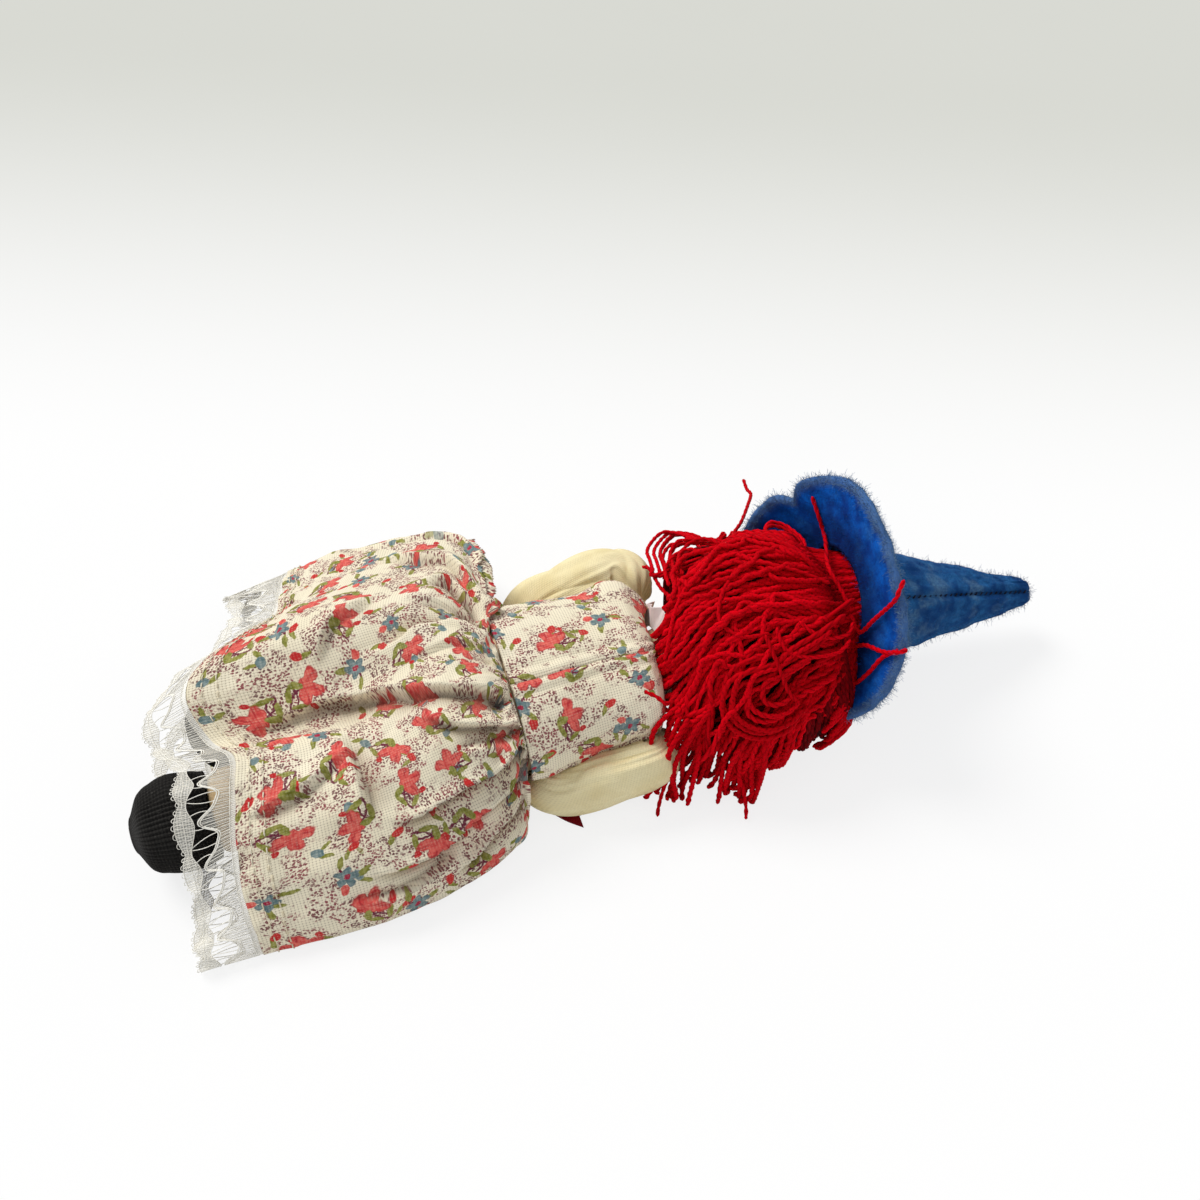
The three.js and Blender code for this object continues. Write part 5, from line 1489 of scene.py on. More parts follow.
hem_ring = skirt_points[-1]
hem_length = np.linalg.norm(np.roll(hem_ring, -1, 0) - hem_ring, axis=1)
hem_at = np.concatenate([[0], np.cumsum(hem_length)])
print("hem is", round(hem_at[-1]), "mm round")


def hem_share(length):
    """Share of the way round for a length along the hem."""
    return np.interp(length % hem_at[-1], hem_at, np.arange(AROUND + 1) / AROUND)


STITCH = 2.3
STITCH_ROWS = (0.905, 0.0), (0.945, 0.9)
ways = []
for row_share, shift in STITCH_ROWS:
    count = int(hem_at[-1] / STITCH)
    begin = np.arange(count)[:, None] * hem_at[-1] / count + shift
    begin = begin + rng.uniform(-0.15, 0.15, (count, 1))
    spot = hem_share(begin + np.linspace(0, 0.8, 6)[None] * STITCH)
    wobble = row_share + rng.normal(0, 0.0016, (count, 1)) + 0 * spot
    lift = np.broadcast_to([-0.15, 0.14, 0.22, 0.22, 0.14, -0.15], spot.shape)
    ways.append(on_skirt(wobble, spot, lift))
stitches = threads("hem_stitches", np.concatenate(ways), 0.2, sides=5)
dress(stitches, cream_thread, "lower_body", "lace")

# %% [markdown]
# ## Lace
#
# The edging is machine lace about 15 mm wide: fine parallel threads next to the hem, a thick
# wavy cord, open holes crossed by bridges, and a dense scalloped border with tiny loops. A
# picture with transparency would be flat from the side, so the threads are real tubes on
# the lace's own surface, and only the gauze between them is a thin sheet with an alpha.

# %% The surface that the lace lies on
LACE_WIDTH = 15.4
SCALLOP = 9.5
FILL_OUT, FILL_SWING, FILL_SKEW, FILL_PHASE = 5.8, 2.3, 0.6, 0.6
BORDER_OUT, BORDER_SWING, BORDER_PHASE = 11.0, 0.9, 0.4
RIM_OUT, RIM_HUMP = 13.5, 1.7
lace_headings = [0, 0, 0, 0, 3, 8, 8, 15, 28, 34, 30, 12, -20]
lace_droops = [0, 33, 20, 0, 0, 14, 35, 42, 40, 30, 25, 18, 0]
scallops = round(hem_at[-1] / SCALLOP)


def lace_at(length, out, lift=0.0):
    """From the hem outwards: the hem's point, moved towards its heading and down by its droop,
    with a soft ruffle that grows with the distance out."""
    share = hem_share(length)
    hem = skirt_base(np.full(np.shape(share), 1.0), share)
    place, top = skirt_place(share)
    heading = np.radians(spline(lace_headings, place))
    droop = np.radians(np.where(top, spline(lace_droops, place), 0))
    out = out * (1 + 0.3 * smoothstep(place, 0.6, 0.85) * top)
    flat = np.cos(droop) * out
    ruffle = 0.9 * np.sin(TAU * length / 19 + 0.7 * np.sin(length / 13)) + (
        0.5 * np.sin(TAU * length / 7.3))
    ruffle = ruffle * (np.clip(out, 0, None) / LACE_WIDTH) ** 1.2
    high = hem[..., 2] - np.sin(droop) * out + np.where(top, ruffle + lift, 0.35 * lift)
    high = np.where(top, np.maximum(high, 0.35 + 0.5 * lift), np.maximum(0.2 + 0.3 * lift, high))
    return np.stack([hem[..., 0] - GAP - flat * np.cos(heading),
                     hem[..., 1] + flat * np.sin(heading), high], -1)


def fill_line(length):
    """Where the fine fill ends and the thick wavy cord runs."""
    turn = TAU * length * scallops / hem_at[-1]
    return FILL_OUT + FILL_SWING * np.cos(turn) + FILL_SKEW * np.cos(2 * turn + FILL_PHASE)


def border_line(length):
    """The inner side of the dense border."""
    turn = TAU * length * scallops / hem_at[-1]
    return BORDER_OUT - BORDER_SWING * np.cos(turn + BORDER_PHASE)


def rim_line(length):
    """The scalloped outer edge: the absolute value of a sine, one hump for each scallop."""
    turn = TAU / 2 * length * scallops / hem_at[-1]
    return RIM_OUT + RIM_HUMP * np.abs(np.sin(turn + 0.5 * math.pi)) ** 0.8


# %% Gauze
def gauze_paint():
    """White net whose alpha follows the lace's bands: fill, holes and border. The UV holds the
    length along the hem and the distance out, both in millimetres."""
    paint = Paint("lace gauze", Roughness=0.85, Sheen_Weight=0.1)
    paint.material.blend_method = "HASHED"
    length, out, _ = paint.split(paint.coords("UV"))
    turn = length * (TAU * scallops / hem_at[-1])
    skew = (turn * 2 + FILL_PHASE).math("COSINE") * FILL_SKEW
    fill = turn.math("COSINE") * FILL_SWING + skew + FILL_OUT
    border = (turn + BORDER_PHASE).math("COSINE") * -BORDER_SWING + BORDER_OUT
    in_fill = paint.step(out - fill, 0.1, -0.1)
    in_border = paint.step(out - border, -0.1, 0.1)
    fine = (length * (TAU / 0.46)).math("SINE") * 0.5 + 0.5
    across = (out * (TAU / 0.7)).math("SINE") * 0.5 + 0.5
    seat = paint.step(out, 1.3, 0.9)
    thin = paint.step(fine, 0.4, 0.8) * 0.4 + 0.12
    dense = (fine * 0.4 + across * 0.3) + 0.25
    alpha = in_fill * (1 - in_border) * thin + in_border * dense + seat * 0.5
    stain = paint.noise(paint.coords("UV"), 0.3)
    paint.set(Base_Color=paint.mix(stain, rgb(252, 250, 243), rgb(242, 238, 226)),
              Alpha=alpha.math("MINIMUM", 0.97))
    paint.bump(fine, 0.0001, 0.5)
    return paint.material


lace_gauze = gauze_paint()
lace_thread = plain_paint("lace thread", rgb(252, 250, 243), rgb(240, 236, 224), 2.0, 0.8, 0.0001)
steps_out, steps_round = 34, 1400
length = np.linspace(0, hem_at[-1], steps_round, endpoint=False)
share = np.linspace(0, 1, steps_out)[:, None]
out = lerp(-0.6, rim_line(length)[None], share)
points = lace_at(np.broadcast_to(length, out.shape), out)
u = np.broadcast_to(np.append(length, hem_at[-1]), (steps_out, steps_round + 1))
v = np.concatenate([out, out[:, :1]], 1)
lace = surface("lace_gauze", points, (u, v), wrap_cols=True)
dress(lace, lace_gauze, "lower_body", "lace", "lace_trim")

# %% Thick cords, bridges, fine threads and picots
def along_hem(line, lift, per_scallop=22, parts=8):
    """The whole way round in a few overlapping threads, at a distance out that a function gives."""
    edges = np.linspace(0, hem_at[-1], parts + 1)
    count = int(per_scallop * scallops / parts) + 2
    spots = np.stack([np.linspace(a, b + 0.2, count) for a, b in zip(edges[:-1], edges[1:])])
    return lace_at(spots, line(spots), lift)


def lace_threads(name, ways, radius, **form):
    """One kind of the lace's threads as a piece of its own."""
    made = threads(name, ways, radius, **form)
    dress(made, lace_thread, "lower_body", "lace")


cords = np.concatenate([along_hem(fill_line, 0.12), along_hem(lambda s: fill_line(s) + 0.55, 0.2)])
lace_threads("lace_outline_cord", cords, 0.17)
rails = np.concatenate([
    along_hem(border_line, 0.1), along_hem(lambda s: rim_line(s) - 0.12, 0.1),
    along_hem(lambda s: lerp(border_line(s), rim_line(s), 0.5), 0.1),
    along_hem(lambda s: 0 * s + 1.2, 0.1)])
lace_threads("lace_border_cords", rails, 0.1, sides=5)

first = np.arange(scallops) * hem_at[-1] / scallops
spokes = []
bridge_forms = (0.18, 0.5, 0.0), (0.42, -0.4, 1.1), (0.66, 0.4, -0.9), (0.86, -0.2, 0.3)
for offset, bend, lean in bridge_forms:
    t = np.linspace(0, 1, 9)[None]
    run = (first + offset * SCALLOP)[:, None] + lean * t + bend * np.sin(math.pi * t)
    spokes.append(lace_at(run, lerp(fill_line(run), border_line(run) + 0.3, t), 0.1))
lace_threads("lace_bridges", np.concatenate(spokes), 0.11, sides=5)

PITCH = 0.7
count = int(hem_at[-1] / PITCH)
spot = np.arange(count)[:, None] * hem_at[-1] / count + rng.normal(0, 0.06, (count, 1))
t = np.linspace(0, 1, 5)[None]
slant = 0.25 * np.sin(spot / 5)
fill = lace_at(spot + slant * t, lerp(0.6, fill_line(spot) + 0.1, t), 0.04)
lace_threads("lace_fill_threads", fill, 0.1, sides=3, taper=False)
border = lace_at(spot + 0.8 * t, lerp(border_line(spot), rim_line(spot) - 0.1, t), 0.04)
lace_threads("lace_border_threads", border, 0.11, sides=3, taper=False)

PICOT = 1.55
count = int(hem_at[-1] / PICOT)
spot = np.arange(count)[:, None] * hem_at[-1] / count
t = np.linspace(0, 1, 7)[None]
picots = lace_at(spot + 0.5 * np.cos(math.pi * (1 - t)),
                 rim_line(spot) - 0.15 + 0.75 * np.sin(math.pi * t), 0.06)
lace_threads("lace_picots", picots, 0.1, sides=4)
print("lace has", scallops, "scallops")

# %% [markdown]
# ## Yarn hair
#
# The hair is one long two-ply yarn, looped and sewn to the head. Each strand is a real tube
# with two lobes that turn round each other. A modeller could use a hair system, but sewn
# yarn is thick enough to be seen strand by strand, so every strand is a path here. On the
# back of the head the paths follow ten guides, from the hat round the whirl to the neck.
# Others are combed down the head's sides, fall to the table, or lie loose on top. An
# underlayer painted near black-red, as painted shade, closes the gaps between them; the
# lowest strands and those on the sides are a darker yarn, painted shade as well.

# %% From the flat flow to the head
HAIR_REACH, HAIR_RADIUS = 34, 25.6
LOCK_SWELL, LOCK_TURN, LOCK_SPREAD = 9, 112, 32


def hair_at(x, degrees, lift):
    """A point over the head: x along it, degrees round from the top (negative is the near
    side), on an egg that swells into a lock on each side."""
    egg = HAIR_RADIUS * np.sqrt(np.maximum(0, 1 - np.abs(x / HAIR_REACH) ** 2.4))
    radius = egg + LOCK_SWELL * np.exp(-((np.abs(degrees) - LOCK_TURN) / LOCK_SPREAD) ** 2) * (
        smoothstep(egg, 0, 12)) + lift
    return lathe(head_middle[0] + x, radius, np.radians(degrees), head_middle[1:])


hair_guides = np.array([
    [(16, 32), (13, 41), (9, 46), (5, 47), (1, 44), (-3, 37)],
    [(16, 14), (8, 24), (2, 30), (-3, 31), (-7, 28), (-11, 21)],
    [(16, -4), (6, 13), (-1, 25), (-9, 21), (-17, 13), (-22, 8)],
    [(17, -12), (5, -3), (-6, 4), (-15, 2), (-22, -3), (-29, -12)],
    [(18, -25), (6, -19), (-8, -16), (-18, -18), (-25, -28), (-32, -47)],
    [(18, -38), (5, -31), (-6, -29), (-16, -37), (-24, -57), (-31, -92)],
    [(17, -50), (6, -42), (-3, -43), (-13, -51), (-21, -68), (-27, -108)],
    [(15, -59), (8, -57), (1, -61), (-6, -74), (-13, -86), (-20, -114)],
    [(14, -67), (6, -74), (-2, -80), (-8, -92), (-12, -106), (-14, -122)],
    [(9, -71), (3, -79), (-2, -90), (-4, -100), (-5, -110), (-6, -122)],
], float)


STRAND = 0.66
DEG_PER_MM = 180 / math.pi / HAIR_RADIUS
YARN_TURNS = 0.21
strand_counts = []


def yarn_piece(name, paths, nodes=(), radius=STRAND, paint=yarn):
    """Two-ply yarn tubes as one piece of hair."""
    keep_above(paths, 0.75)
    strand_counts.append(len(paths))
    obj = threads(name, paths, radius, sides=8, lobes=2, turns_per_mm=YARN_TURNS)
    dress(obj, paint, "head", "yarn", *nodes)


def wandering(count, steps, size, seed):
    """Smooth sideways drift for each of many strands."""
    draw = np.random.default_rng(seed)
    return smooth_ways(draw.normal(0, size, (count, max(4, steps // 17))), steps)


print("a strand starts at", hair_at(np.array(18.0), np.array(-38.0), 1.0).round(1))

# %% The hair on the back of the head
NAPE, CROWN, SCALP_SIDE = -23, 29, 128
x, degrees = grid(np.linspace(NAPE, CROWN, 50), np.linspace(-SCALP_SIDE, SCALP_SIDE, 90))
x = np.maximum(x, NAPE + 0.22 * np.maximum(0, degrees - 10))
sunk = -2.6 - 4 * smoothstep(x, 11, 19) + 0.5 * waves(x, degrees * 0.5, 90, 6)
points = hair_at(x, degrees, sunk)
keep_above(points, 0.5)
scalp = solidify(surface("hair_underlayer", points, arc_uv(points), middle=head_middle), 1.2)
# The underlayer is painted near black-red, as the shade in the gaps between the strands.
hair_gap_shade = plain_paint("painted shade under yarn", rgb(74, 0, 12), rgb(34, 0, 6), 1.4, 0.9, 0.0006)
dress(scalp, hair_gap_shade, "head", "yarn")


def on_hair(spots, lift):
    """Places on the hair from (x, degrees) pairs, lifted by a list or one number."""
    spots = np.array(spots, float)
    return hair_at(spots[:, 0], spots[:, 1], lift + 0 * spots[:, 0])


STEPS, SHORT_STEPS = 86, 60


def layer(count, seed, lifts, shares=(0, 1), sway=0.9, kink=0.35):
    """Strands between the guides, each with its own drift, kinks and height."""
    draw, steps = np.random.default_rng(seed), STEPS
    share = np.sort(draw.uniform(*shares, count))
    keys = spline(hair_guides.reshape(len(hair_guides), -1), share).reshape(count, -1, 2)
    begin, end = draw.uniform(0, 0.05, count), draw.uniform(0.9, 1, count)
    ways = np.stack([spline(key, np.linspace(a, b, steps)) for key, a, b in zip(keys, begin, end)])
    t = np.linspace(0, 1, steps)[None]
    pitch, phase = draw.uniform(5, 11, (count, 1)), draw.uniform(0, TAU, (count, 1))
    x = ways[..., 0] + wandering(count, steps, sway * 0.7, seed + 1)
    x = x + kink * np.cos(TAU * pitch * t + 2 * phase)
    across = wandering(count, steps, sway, seed + 2) + kink * np.sin(TAU * pitch * t + phase)
    lift = draw.uniform(*lifts, (count, 1)) + wandering(count, steps, 0.5, seed + 3)
    lift = np.maximum(lift, lifts[0] - 0.5) - 4 * (1 - smoothstep(t, 0, 0.13))
    return hair_at(np.clip(x, -33.4, 22), ways[..., 1] + across * DEG_PER_MM, lift)


yarn_piece("hair_back_yarn_lower", layer(88, 101, (-0.9, 0.2), sway=0.6), ("hair_back",),
           paint=shaded_yarn)
yarn_piece("hair_back_yarn_middle", layer(66, 107, (0.3, 1.4), sway=0.9, kink=0.12))
yarn_piece("hair_back_yarn_upper", layer(42, 113, (1.3, 2.6), (0.12, 1), sway=1.5, kink=0.2))
combed, draw = [], np.random.default_rng(127)
for side, first, count in ((1, -14, 62), (-1, 1, 34)):
    for x in np.linspace(first, 16, count) + draw.uniform(-0.5, 0.5, count):
        drift = draw.normal(0, 1.2)
        end = (x + 2 * drift, draw.uniform(118, 130) * side)
        combed.append(on_hair([(x - 1, 44 * side), (x, 66 * side), (x + drift, 92 * side), end],
                              draw.uniform(-1.6, 0.4)))
yarn_piece("hair_sides_yarn", smooth_ways(combed, 36), paint=shaded_yarn)
yarn_piece("hair_back_yarn_wild", layer(14, 119, (2.4, 4.0), (0.25, 0.7), sway=3.0, kink=0.3))


def falling(tops, feet, count, seed, out, jitter):
    """Strands from the head's side down to the table: a smooth curve through a top, a
    shoulder that stands out, and a foot, each with a little scatter."""
    draw = np.random.default_rng(seed)
    share = np.linspace(0, 1, count)
    top = spline(tops, share) + draw.normal(0, jitter * 0.6, (count, 3))
    foot = spline(feet, share) + draw.normal(0, jitter, (count, 3)) * [1, 1, 0]
    foot[:, 2] = draw.uniform(0.8, 3.4, count)
    away = foot - top
    away[:, 2] = 0
    away = unit(away)
    bulge = lerp(top, foot, 0.45) + away * out + [0, 0, 3.5]
    bulge += draw.normal(0, jitter * 0.5, bulge.shape)
    near = lerp(top, foot, 0.8) + away * out * 0.6 + draw.normal(0, jitter * 0.4, top.shape)
    near[:, 2] = np.maximum(near[:, 2] * 0.6, foot[:, 2] + 1)
    return smooth_ways(np.stack([top, bulge, near, foot], 1), SHORT_STEPS)


near_tops = on_hair([(-28, -76), (-22, -82), (-14, -86), (-8, -88), (-1, -86), (7, -82)], 1.0)
near_feet = [(34, -27, 1), (36, -32, 1), (44, -27, 1), (50, -31, 1), (54, -37, 1), (58, -30, 1),
             (63, -28, 1), (71, -25, 1)]
yarn_piece("hair_right_yarn", falling(near_tops, near_feet, 76, 121, out=1.5, jitter=2.8),
           ("hair_right",))

far_tops = on_hair([(2, 70), (5, 76), (8, 80), (11, 78), (14, 72)], 1.0)
far_feet = [(59, 18, 1), (63, 21, 1), (69, 22, 1), (76, 20, 1), (82, 16, 1)]
yarn_piece("hair_left_yarn", falling(far_tops, far_feet, 52, 131, out=1.0, jitter=1.6),
           ("hair_left",))
print("yarn strands:", sum(strand_counts))

# %% Loose loops and ends
whirl = np.array([(15, -40), (7, -45), (-1, -49), (-6.3, -54), (-14.5, -56), (-17.7, -66),
                  (-18, -76), (-15.4, -82), (-10.9, -85), (-5, -84), (-1, -79)], float)
whirl_middle = np.array([-7.0, -69.0])
coil_sizes = [(1.22, 1.2, 3.2), (1.1, -0.8, 3.9), (1, 0.6, 4.5), (0.86, -1.4, 3.9),
              (0.74, 1.6, 4.6), (0.55, -1.2, 4.1), (0.42, 1.5, 4.5)]
coils = [on_hair(whirl_middle + (whirl - whirl_middle) * size + [shift, 2 * shift], lift)
         for size, shift, lift in coil_sizes]
yarn_piece("hair_whorl_yarn", smooth_ways(coils, SHORT_STEPS))

loops_on_hair = [
    ([(-6.8, -38), (-6.2, -45), (-5, -56), (-3.9, -66), (-2, -72)], 5.4),
    ([(-3.2, -36), (-3.2, -41), (-2.1, -48), (2, -53), (5.8, -55), (12, -56), (16, -52)], 4.6),
    ([(3, -36), (5.9, -43), (10.1, -48), (15.6, -49), (18, -44)], 4.2),
    ([(15, -20), (6, -8), (-4, 2), (-12, -8), (-16, -24), (-12, -36), (-5, -38)], 3.2),
    ([(12, -4), (2, 8), (-10, 12), (-20, 4), (-25, -8), (-28, -24), (-30, -40)], 3.0),
    ([(14, -44), (4, -36), (-8, -34), (-18, -46), (-24, -66), (-28, -96), (-29, -112)], 2.8),
]
big_loops = [
    [(62, 10, 44), (48, 11, 40), (48, 13, 40), (49, 18, 38), (50, 23, 36), (53, 27, 35),
     (57, 30, 34), (60, 29, 34), (62, 25, 36), (63, 20, 38), (63, 14, 40), (61, 8, 43)],
    [(68, 6, 47), (65, 11, 46), (62, 15, 44), (58, 18, 42), (55, 19, 41), (52, 16, 41),
     (51, 12, 42), (50, 7, 44), (52, 2, 45)],
    [(62, 8, 46), (59, 12, 45), (56, 13, 44), (53, 12, 43), (50, 8, 44), (49, 2, 45)],
]
ends_and_loops = [
    [(45, 18, 37), (46, 15, 39), (46, 6, 41), (48, -2, 43)],
    [(70, 8, 44), (71, 18, 40), (78, 28, 34), (85, 39, 28), (89, 46, 24), (90, 51, 21),
     (91, 56, 20)],
    [(76, 10, 42), (81, 18, 42), (85, 18, 41), (87, 15, 41), (88, 9, 42), (85, 3, 44),
     (82, -2, 46)],
    [(75, 8, 44), (80, 16, 43), (84, 16, 42), (86, 13, 42), (86.5, 8, 43), (84, 2, 45),
     (81, -3, 47)],
    [(74, 16, 42), (78, 15, 43), (82, 11, 44), (82, 5, 46), (79, -1, 47)],
    [(40, -24, 36), (36, -27, 37), (34, -24, 37), (32, -21, 36)],
    [(57, -28, 3), (60, -30, 3), (64, -32, 6), (68, -31, 12), (69, -30, 18), (66, -29, 24)],
    [(66, -27, 14), (71, -29, 9), (75, -28, 4), (78, -26, 1.5)],
    [(52, -34, 14), (54, -38, 8), (54, -42, 3), (53, -45, 1.2)],
    [(38, -30, 14), (34, -33, 8), (32, -35, 3), (31, -37, 1.2)],
]
loops = [on_hair(*loop) for loop in loops_on_hair] + big_loops + ends_and_loops
loops += [np.array(loop) + rng.uniform(-2.2, 2.2, 3) for loop in big_loops for _ in range(3)]
yarn_piece("hair_loops_yarn", smooth_ways(loops, SHORT_STEPS), radius=0.5)
print("loose strands made")

# %% [markdown]
# ## The felt hat
#
# The hat is two pieces of thick felt: a cone with a stitched back seam, and a ring sewn to
# its base that curls up and down as it pleases. Felt has no weave, only fibres, so its
# surface is lumpy and its edges are fuzzy with loose ones.

# %% The hat's own frame
HAT_ALONG, HAT_HEIGHT, HAT_SIDEWAYS = 24, 27.5, 4
HAT_DROOP, HAT_YAW = math.radians(12.7), math.radians(-2.3)
CONE_RADIUS, CONE_LENGTH, TIP_RADIUS, FELT = 17.5, 62, 5.4, 2.2
BRIM_WIDTH, BRIM_INNER = 19.5, 16.6
NICK_DEPTH, NICK_TURN = 0.2, 62 / 360
hat_seat = np.array([HEAD_ALONG + HAT_ALONG, -HAT_SIDEWAYS, HAT_HEIGHT])


def from_hat(points):
    """The hat's frame to the waist's: droop about y, then yaw about z, then its seat."""
    x, y, z = points[..., 0], points[..., 1], points[..., 2]
    cd, sd, cy, sy = math.cos(HAT_DROOP), math.sin(HAT_DROOP), math.cos(HAT_YAW), math.sin(HAT_YAW)
    x2, z2 = x * cd + z * sd, -x * sd + z * cd
    return np.stack([x2 * cy - y * sy, x2 * sy + y * cy, z2], -1) + hat_seat


brim_leans = [4, 4, 24, 44, 38, 40, 46, 50, 34, 4, -4, 2]
brim_width_shares = [0.97, 0.97, 1, 1.1, 0.96, 0.9, 0.96, 1.04, 0.9, 0.84, 0.88, 0.94]


def brim_shape(turn_share, out, shift):
    """Section of the brim: its slope starts at half its lean and grows to one and a half times
    it at the rim, so the section is an arc; shift moves it to the underside."""
    lean = np.radians(spline(brim_leans, turn_share, loop=True))
    width = BRIM_WIDTH * spline(brim_width_shares, turn_share, loop=True) * out
    slope = lean * (0.5 + 0.5 * out)
    radius = BRIM_INNER + width * np.cos(slope)
    along = -width * np.sin(slope)
    tilt = lean * (0.5 + out)
    radius = radius - shift * np.sin(tilt)
    along = along - shift * np.cos(tilt)
    turn = TAU * turn_share
    lump = 0.35 * waves(radius * np.sin(turn), radius * np.cos(turn), 141, 6)
    lump = lump * np.minimum(1, out * 3)
    return lathe(along + lump, radius, turn)


around, across = 260, 22
turn_share = np.arange(around) / around
out = np.linspace(0, 1, across)
grow = 1 + 0.025 * waves(turn_share * 110, 0 * turn_share, 142, 12) - (
    NICK_DEPTH * bump(turn_share, NICK_TURN, 0.012))
upper = brim_shape(turn_share[:, None], out[None] * grow[:, None], 0.1)
under = brim_shape(turn_share[:, None], out[::-1][None] * grow[:, None], FELT - 0.1)
rim_turns = np.linspace(0, math.pi, 6)[1:-1]
middle_rim = (upper[:, -1] + under[:, 0]) / 2
half = (upper[:, -1] - under[:, 0]) / 2
outwards = unit(upper[:, -1] - upper[:, -2])
rounding = np.stack([middle_rim + half * math.cos(t) + outwards * math.sin(t) * FELT * 0.42
                     for t in rim_turns], 1)
section = np.concatenate([upper, rounding, under], 1)
at_rim = np.concatenate([smoothstep(out, 0.86, 1), 1 + 0 * rim_turns,
                         smoothstep(out[::-1], 0.86, 1)])
# Painted shade on the brim's underside next to the seam, where it meets the head.
seam_shade = np.concatenate([0 * out, 0 * rim_turns, 1 - smoothstep(out[::-1], 0.15, 0.75)])
brim = surface("hat_brim_felt", from_hat(section), wrap_cols=True, wrap_rows=True,
               marks={"painted_seam_shade": np.broadcast_to(seam_shade, section.shape[:2]),
                      "rim": np.broadcast_to(at_rim, section.shape[:2])})
columns = section.shape[1]
cell_column = np.tile(np.arange(columns), around)
underside = ((cell_column >= across + 1) & (cell_column < columns - 1)).astype(np.int32)
dress(brim, felt_faded, "head", "felt", "hat_brim")
brim.data.materials.append(felt_blue)
brim.data.polygons.foreach_set("material_index", underside)
print("brim points:", len(brim.data.vertices))

# %% The cone
CONE_AROUND, INNER_ROWS = 160, 70
SEAM_TURN = math.radians(-36)
share = np.linspace(0, 1, 120)
outline = np.interp(share, [0, 0.88, 0.95, 0.985, 1],
                    [CONE_RADIUS, TIP_RADIUS, TIP_RADIUS * 0.82, TIP_RADIUS * 0.45, 0.12])
turn = angles(CONE_AROUND)[None]
dents = 0.55 * waves(share[:, None] * 62, turn * 14, 151, 14) + (
    0.22 * waves(share[:, None] * 62, turn * 14, 152, 4))
away = np.abs((turn - SEAM_TURN + math.pi) % TAU - math.pi) * outline[:, None]
seam_valley = -0.75 * np.exp(-(away / 0.7) ** 2) + 0.45 * np.exp(-((away - 2.0) / 1.1) ** 2)
radius = outline[:, None] + (dents - 0.25) * smoothstep(outline[:, None], 0, 3) + (
    seam_valley * smoothstep(outline[:, None], 1.0, 4))
cone_points = lathe(GAP + share[:, None] * CONE_LENGTH, radius, turn)
inner = lathe(GAP + share[:INNER_ROWS, None] * CONE_LENGTH * 1.02,
              radius[:INNER_ROWS] - FELT, turn)[::-1]
lip = (cone_points[:1] + inner[-1:]) / 2 - [0.4, 0, 0]
cone = surface("hat_cone_felt", from_hat(np.concatenate([inner, lip, cone_points])), wrap_cols=True,
               ends=True)
dress(cone, felt_faded, "head", "felt", "hat_cone")

begin = np.linspace(0.03, 0.93, 30)[:, None]
t = np.linspace(0, 1, 6)[None]
spot = begin + t * 0.021
rise = np.array([-0.5, 0.1, 0.25, 0.25, 0.1, -0.5])[None]
reach = np.interp(spot, share, outline) - 0.85 + rise
slant = SEAM_TURN + (t - 0.5) * 0.9 / np.maximum(reach, 1.5)
stitches = from_hat(lathe(GAP + spot * CONE_LENGTH, reach, slant))
seam = threads("hat_seam_stitches", stitches, 0.2, sides=5)
dress(seam, dark_thread, "head", "felt")

WAD_START = 1.5
share_in = np.linspace(0, 1, 40)[:, None]
turn = angles(64)[None]
puff = (CONE_RADIUS - FELT - GAP) * (1 - 0.96 * share_in ** 1.1) - 0.4
puff = puff + 0.4 * waves(share_in * 40, turn * 10, 161, 7)
wad = lathe(WAD_START + share_in * CONE_LENGTH * 0.74, puff, turn)
stuffing = surface("hat_wadding", from_hat(wad), wrap_cols=True, ends=True)
dress(stuffing, wadding, "head", "wadding", "hat_stuffing")
print("hat made")

# %% [markdown]
# ## Loose fibres
#
# The outline of felt is never sharp: short wool fibres stand out of it. Each is a thin
# curved hair with three sides, rooted at a random place of the surface.

# %% Fuzz on the felt
def fuzz(name, points, normals, count, reach, material, seed):
    """Curved hairs: root + normal x length, bent sideways by a random amount."""
    draw = np.random.default_rng(seed)
    pick = draw.integers(0, len(points), count)
    root, up = points[pick], normals[pick]
    lean = draw.normal(0, 0.75, (count, 3))
    curl = draw.normal(0, 0.45, (count, 3))
    length = reach * draw.uniform(0.35, 1.0, (count, 1)) ** 1.5
    share = np.linspace(0, 1, 4)
    ways = np.stack([root + (up + lean * 0.6) * length * s + curl * length * s ** 2 - up * 0.15
                     for s in share], 1)
    keep_above(ways, 0.15)
    dress(threads(name, ways, 0.035, sides=3, taper=False), material, "head", "felt")


def surface_samples(obj):
    """Points and normals of a mesh, in waist millimetres."""
    return (vertex_values(obj.data, "co") - WAIST) / MM, vertex_values(obj.data, "normal")


points, normals = surface_samples(brim)
column = np.tile(np.arange(columns), around)
is_under = column > across + 2
is_rim = (column > across - 3) & (column < across + 6)
fuzz("hat_brim_fuzz_under", points[is_under], normals[is_under], 3600, 1.1, felt_blue, 171)
fuzz("hat_brim_fuzz_over", points[~is_under], normals[~is_under], 2000, 1.3, felt_faded, 172)
fuzz("hat_brim_fuzz_rim", points[is_rim], normals[is_rim], 9000, 1.15, felt_fuzz, 173)
points, normals = surface_samples(cone)
shown = np.linalg.norm(normals, axis=1) > 0.5
outside = slice(INNER_ROWS * CONE_AROUND, None)
fuzz("hat_cone_fuzz", points[shown][outside], normals[shown][outside], 4200, 1.2, felt_faded, 174)
print("fibres added")

# %% Strands that lie over the hat
def on_brim(*places):
    """Places on the brim's underside, from its degrees, shares out and lifts off the felt."""
    return [from_hat(brim_shape(np.array(degrees / 360 % 1.0), np.array(float(out)), FELT + lift))
            for degrees, out, lift in places]


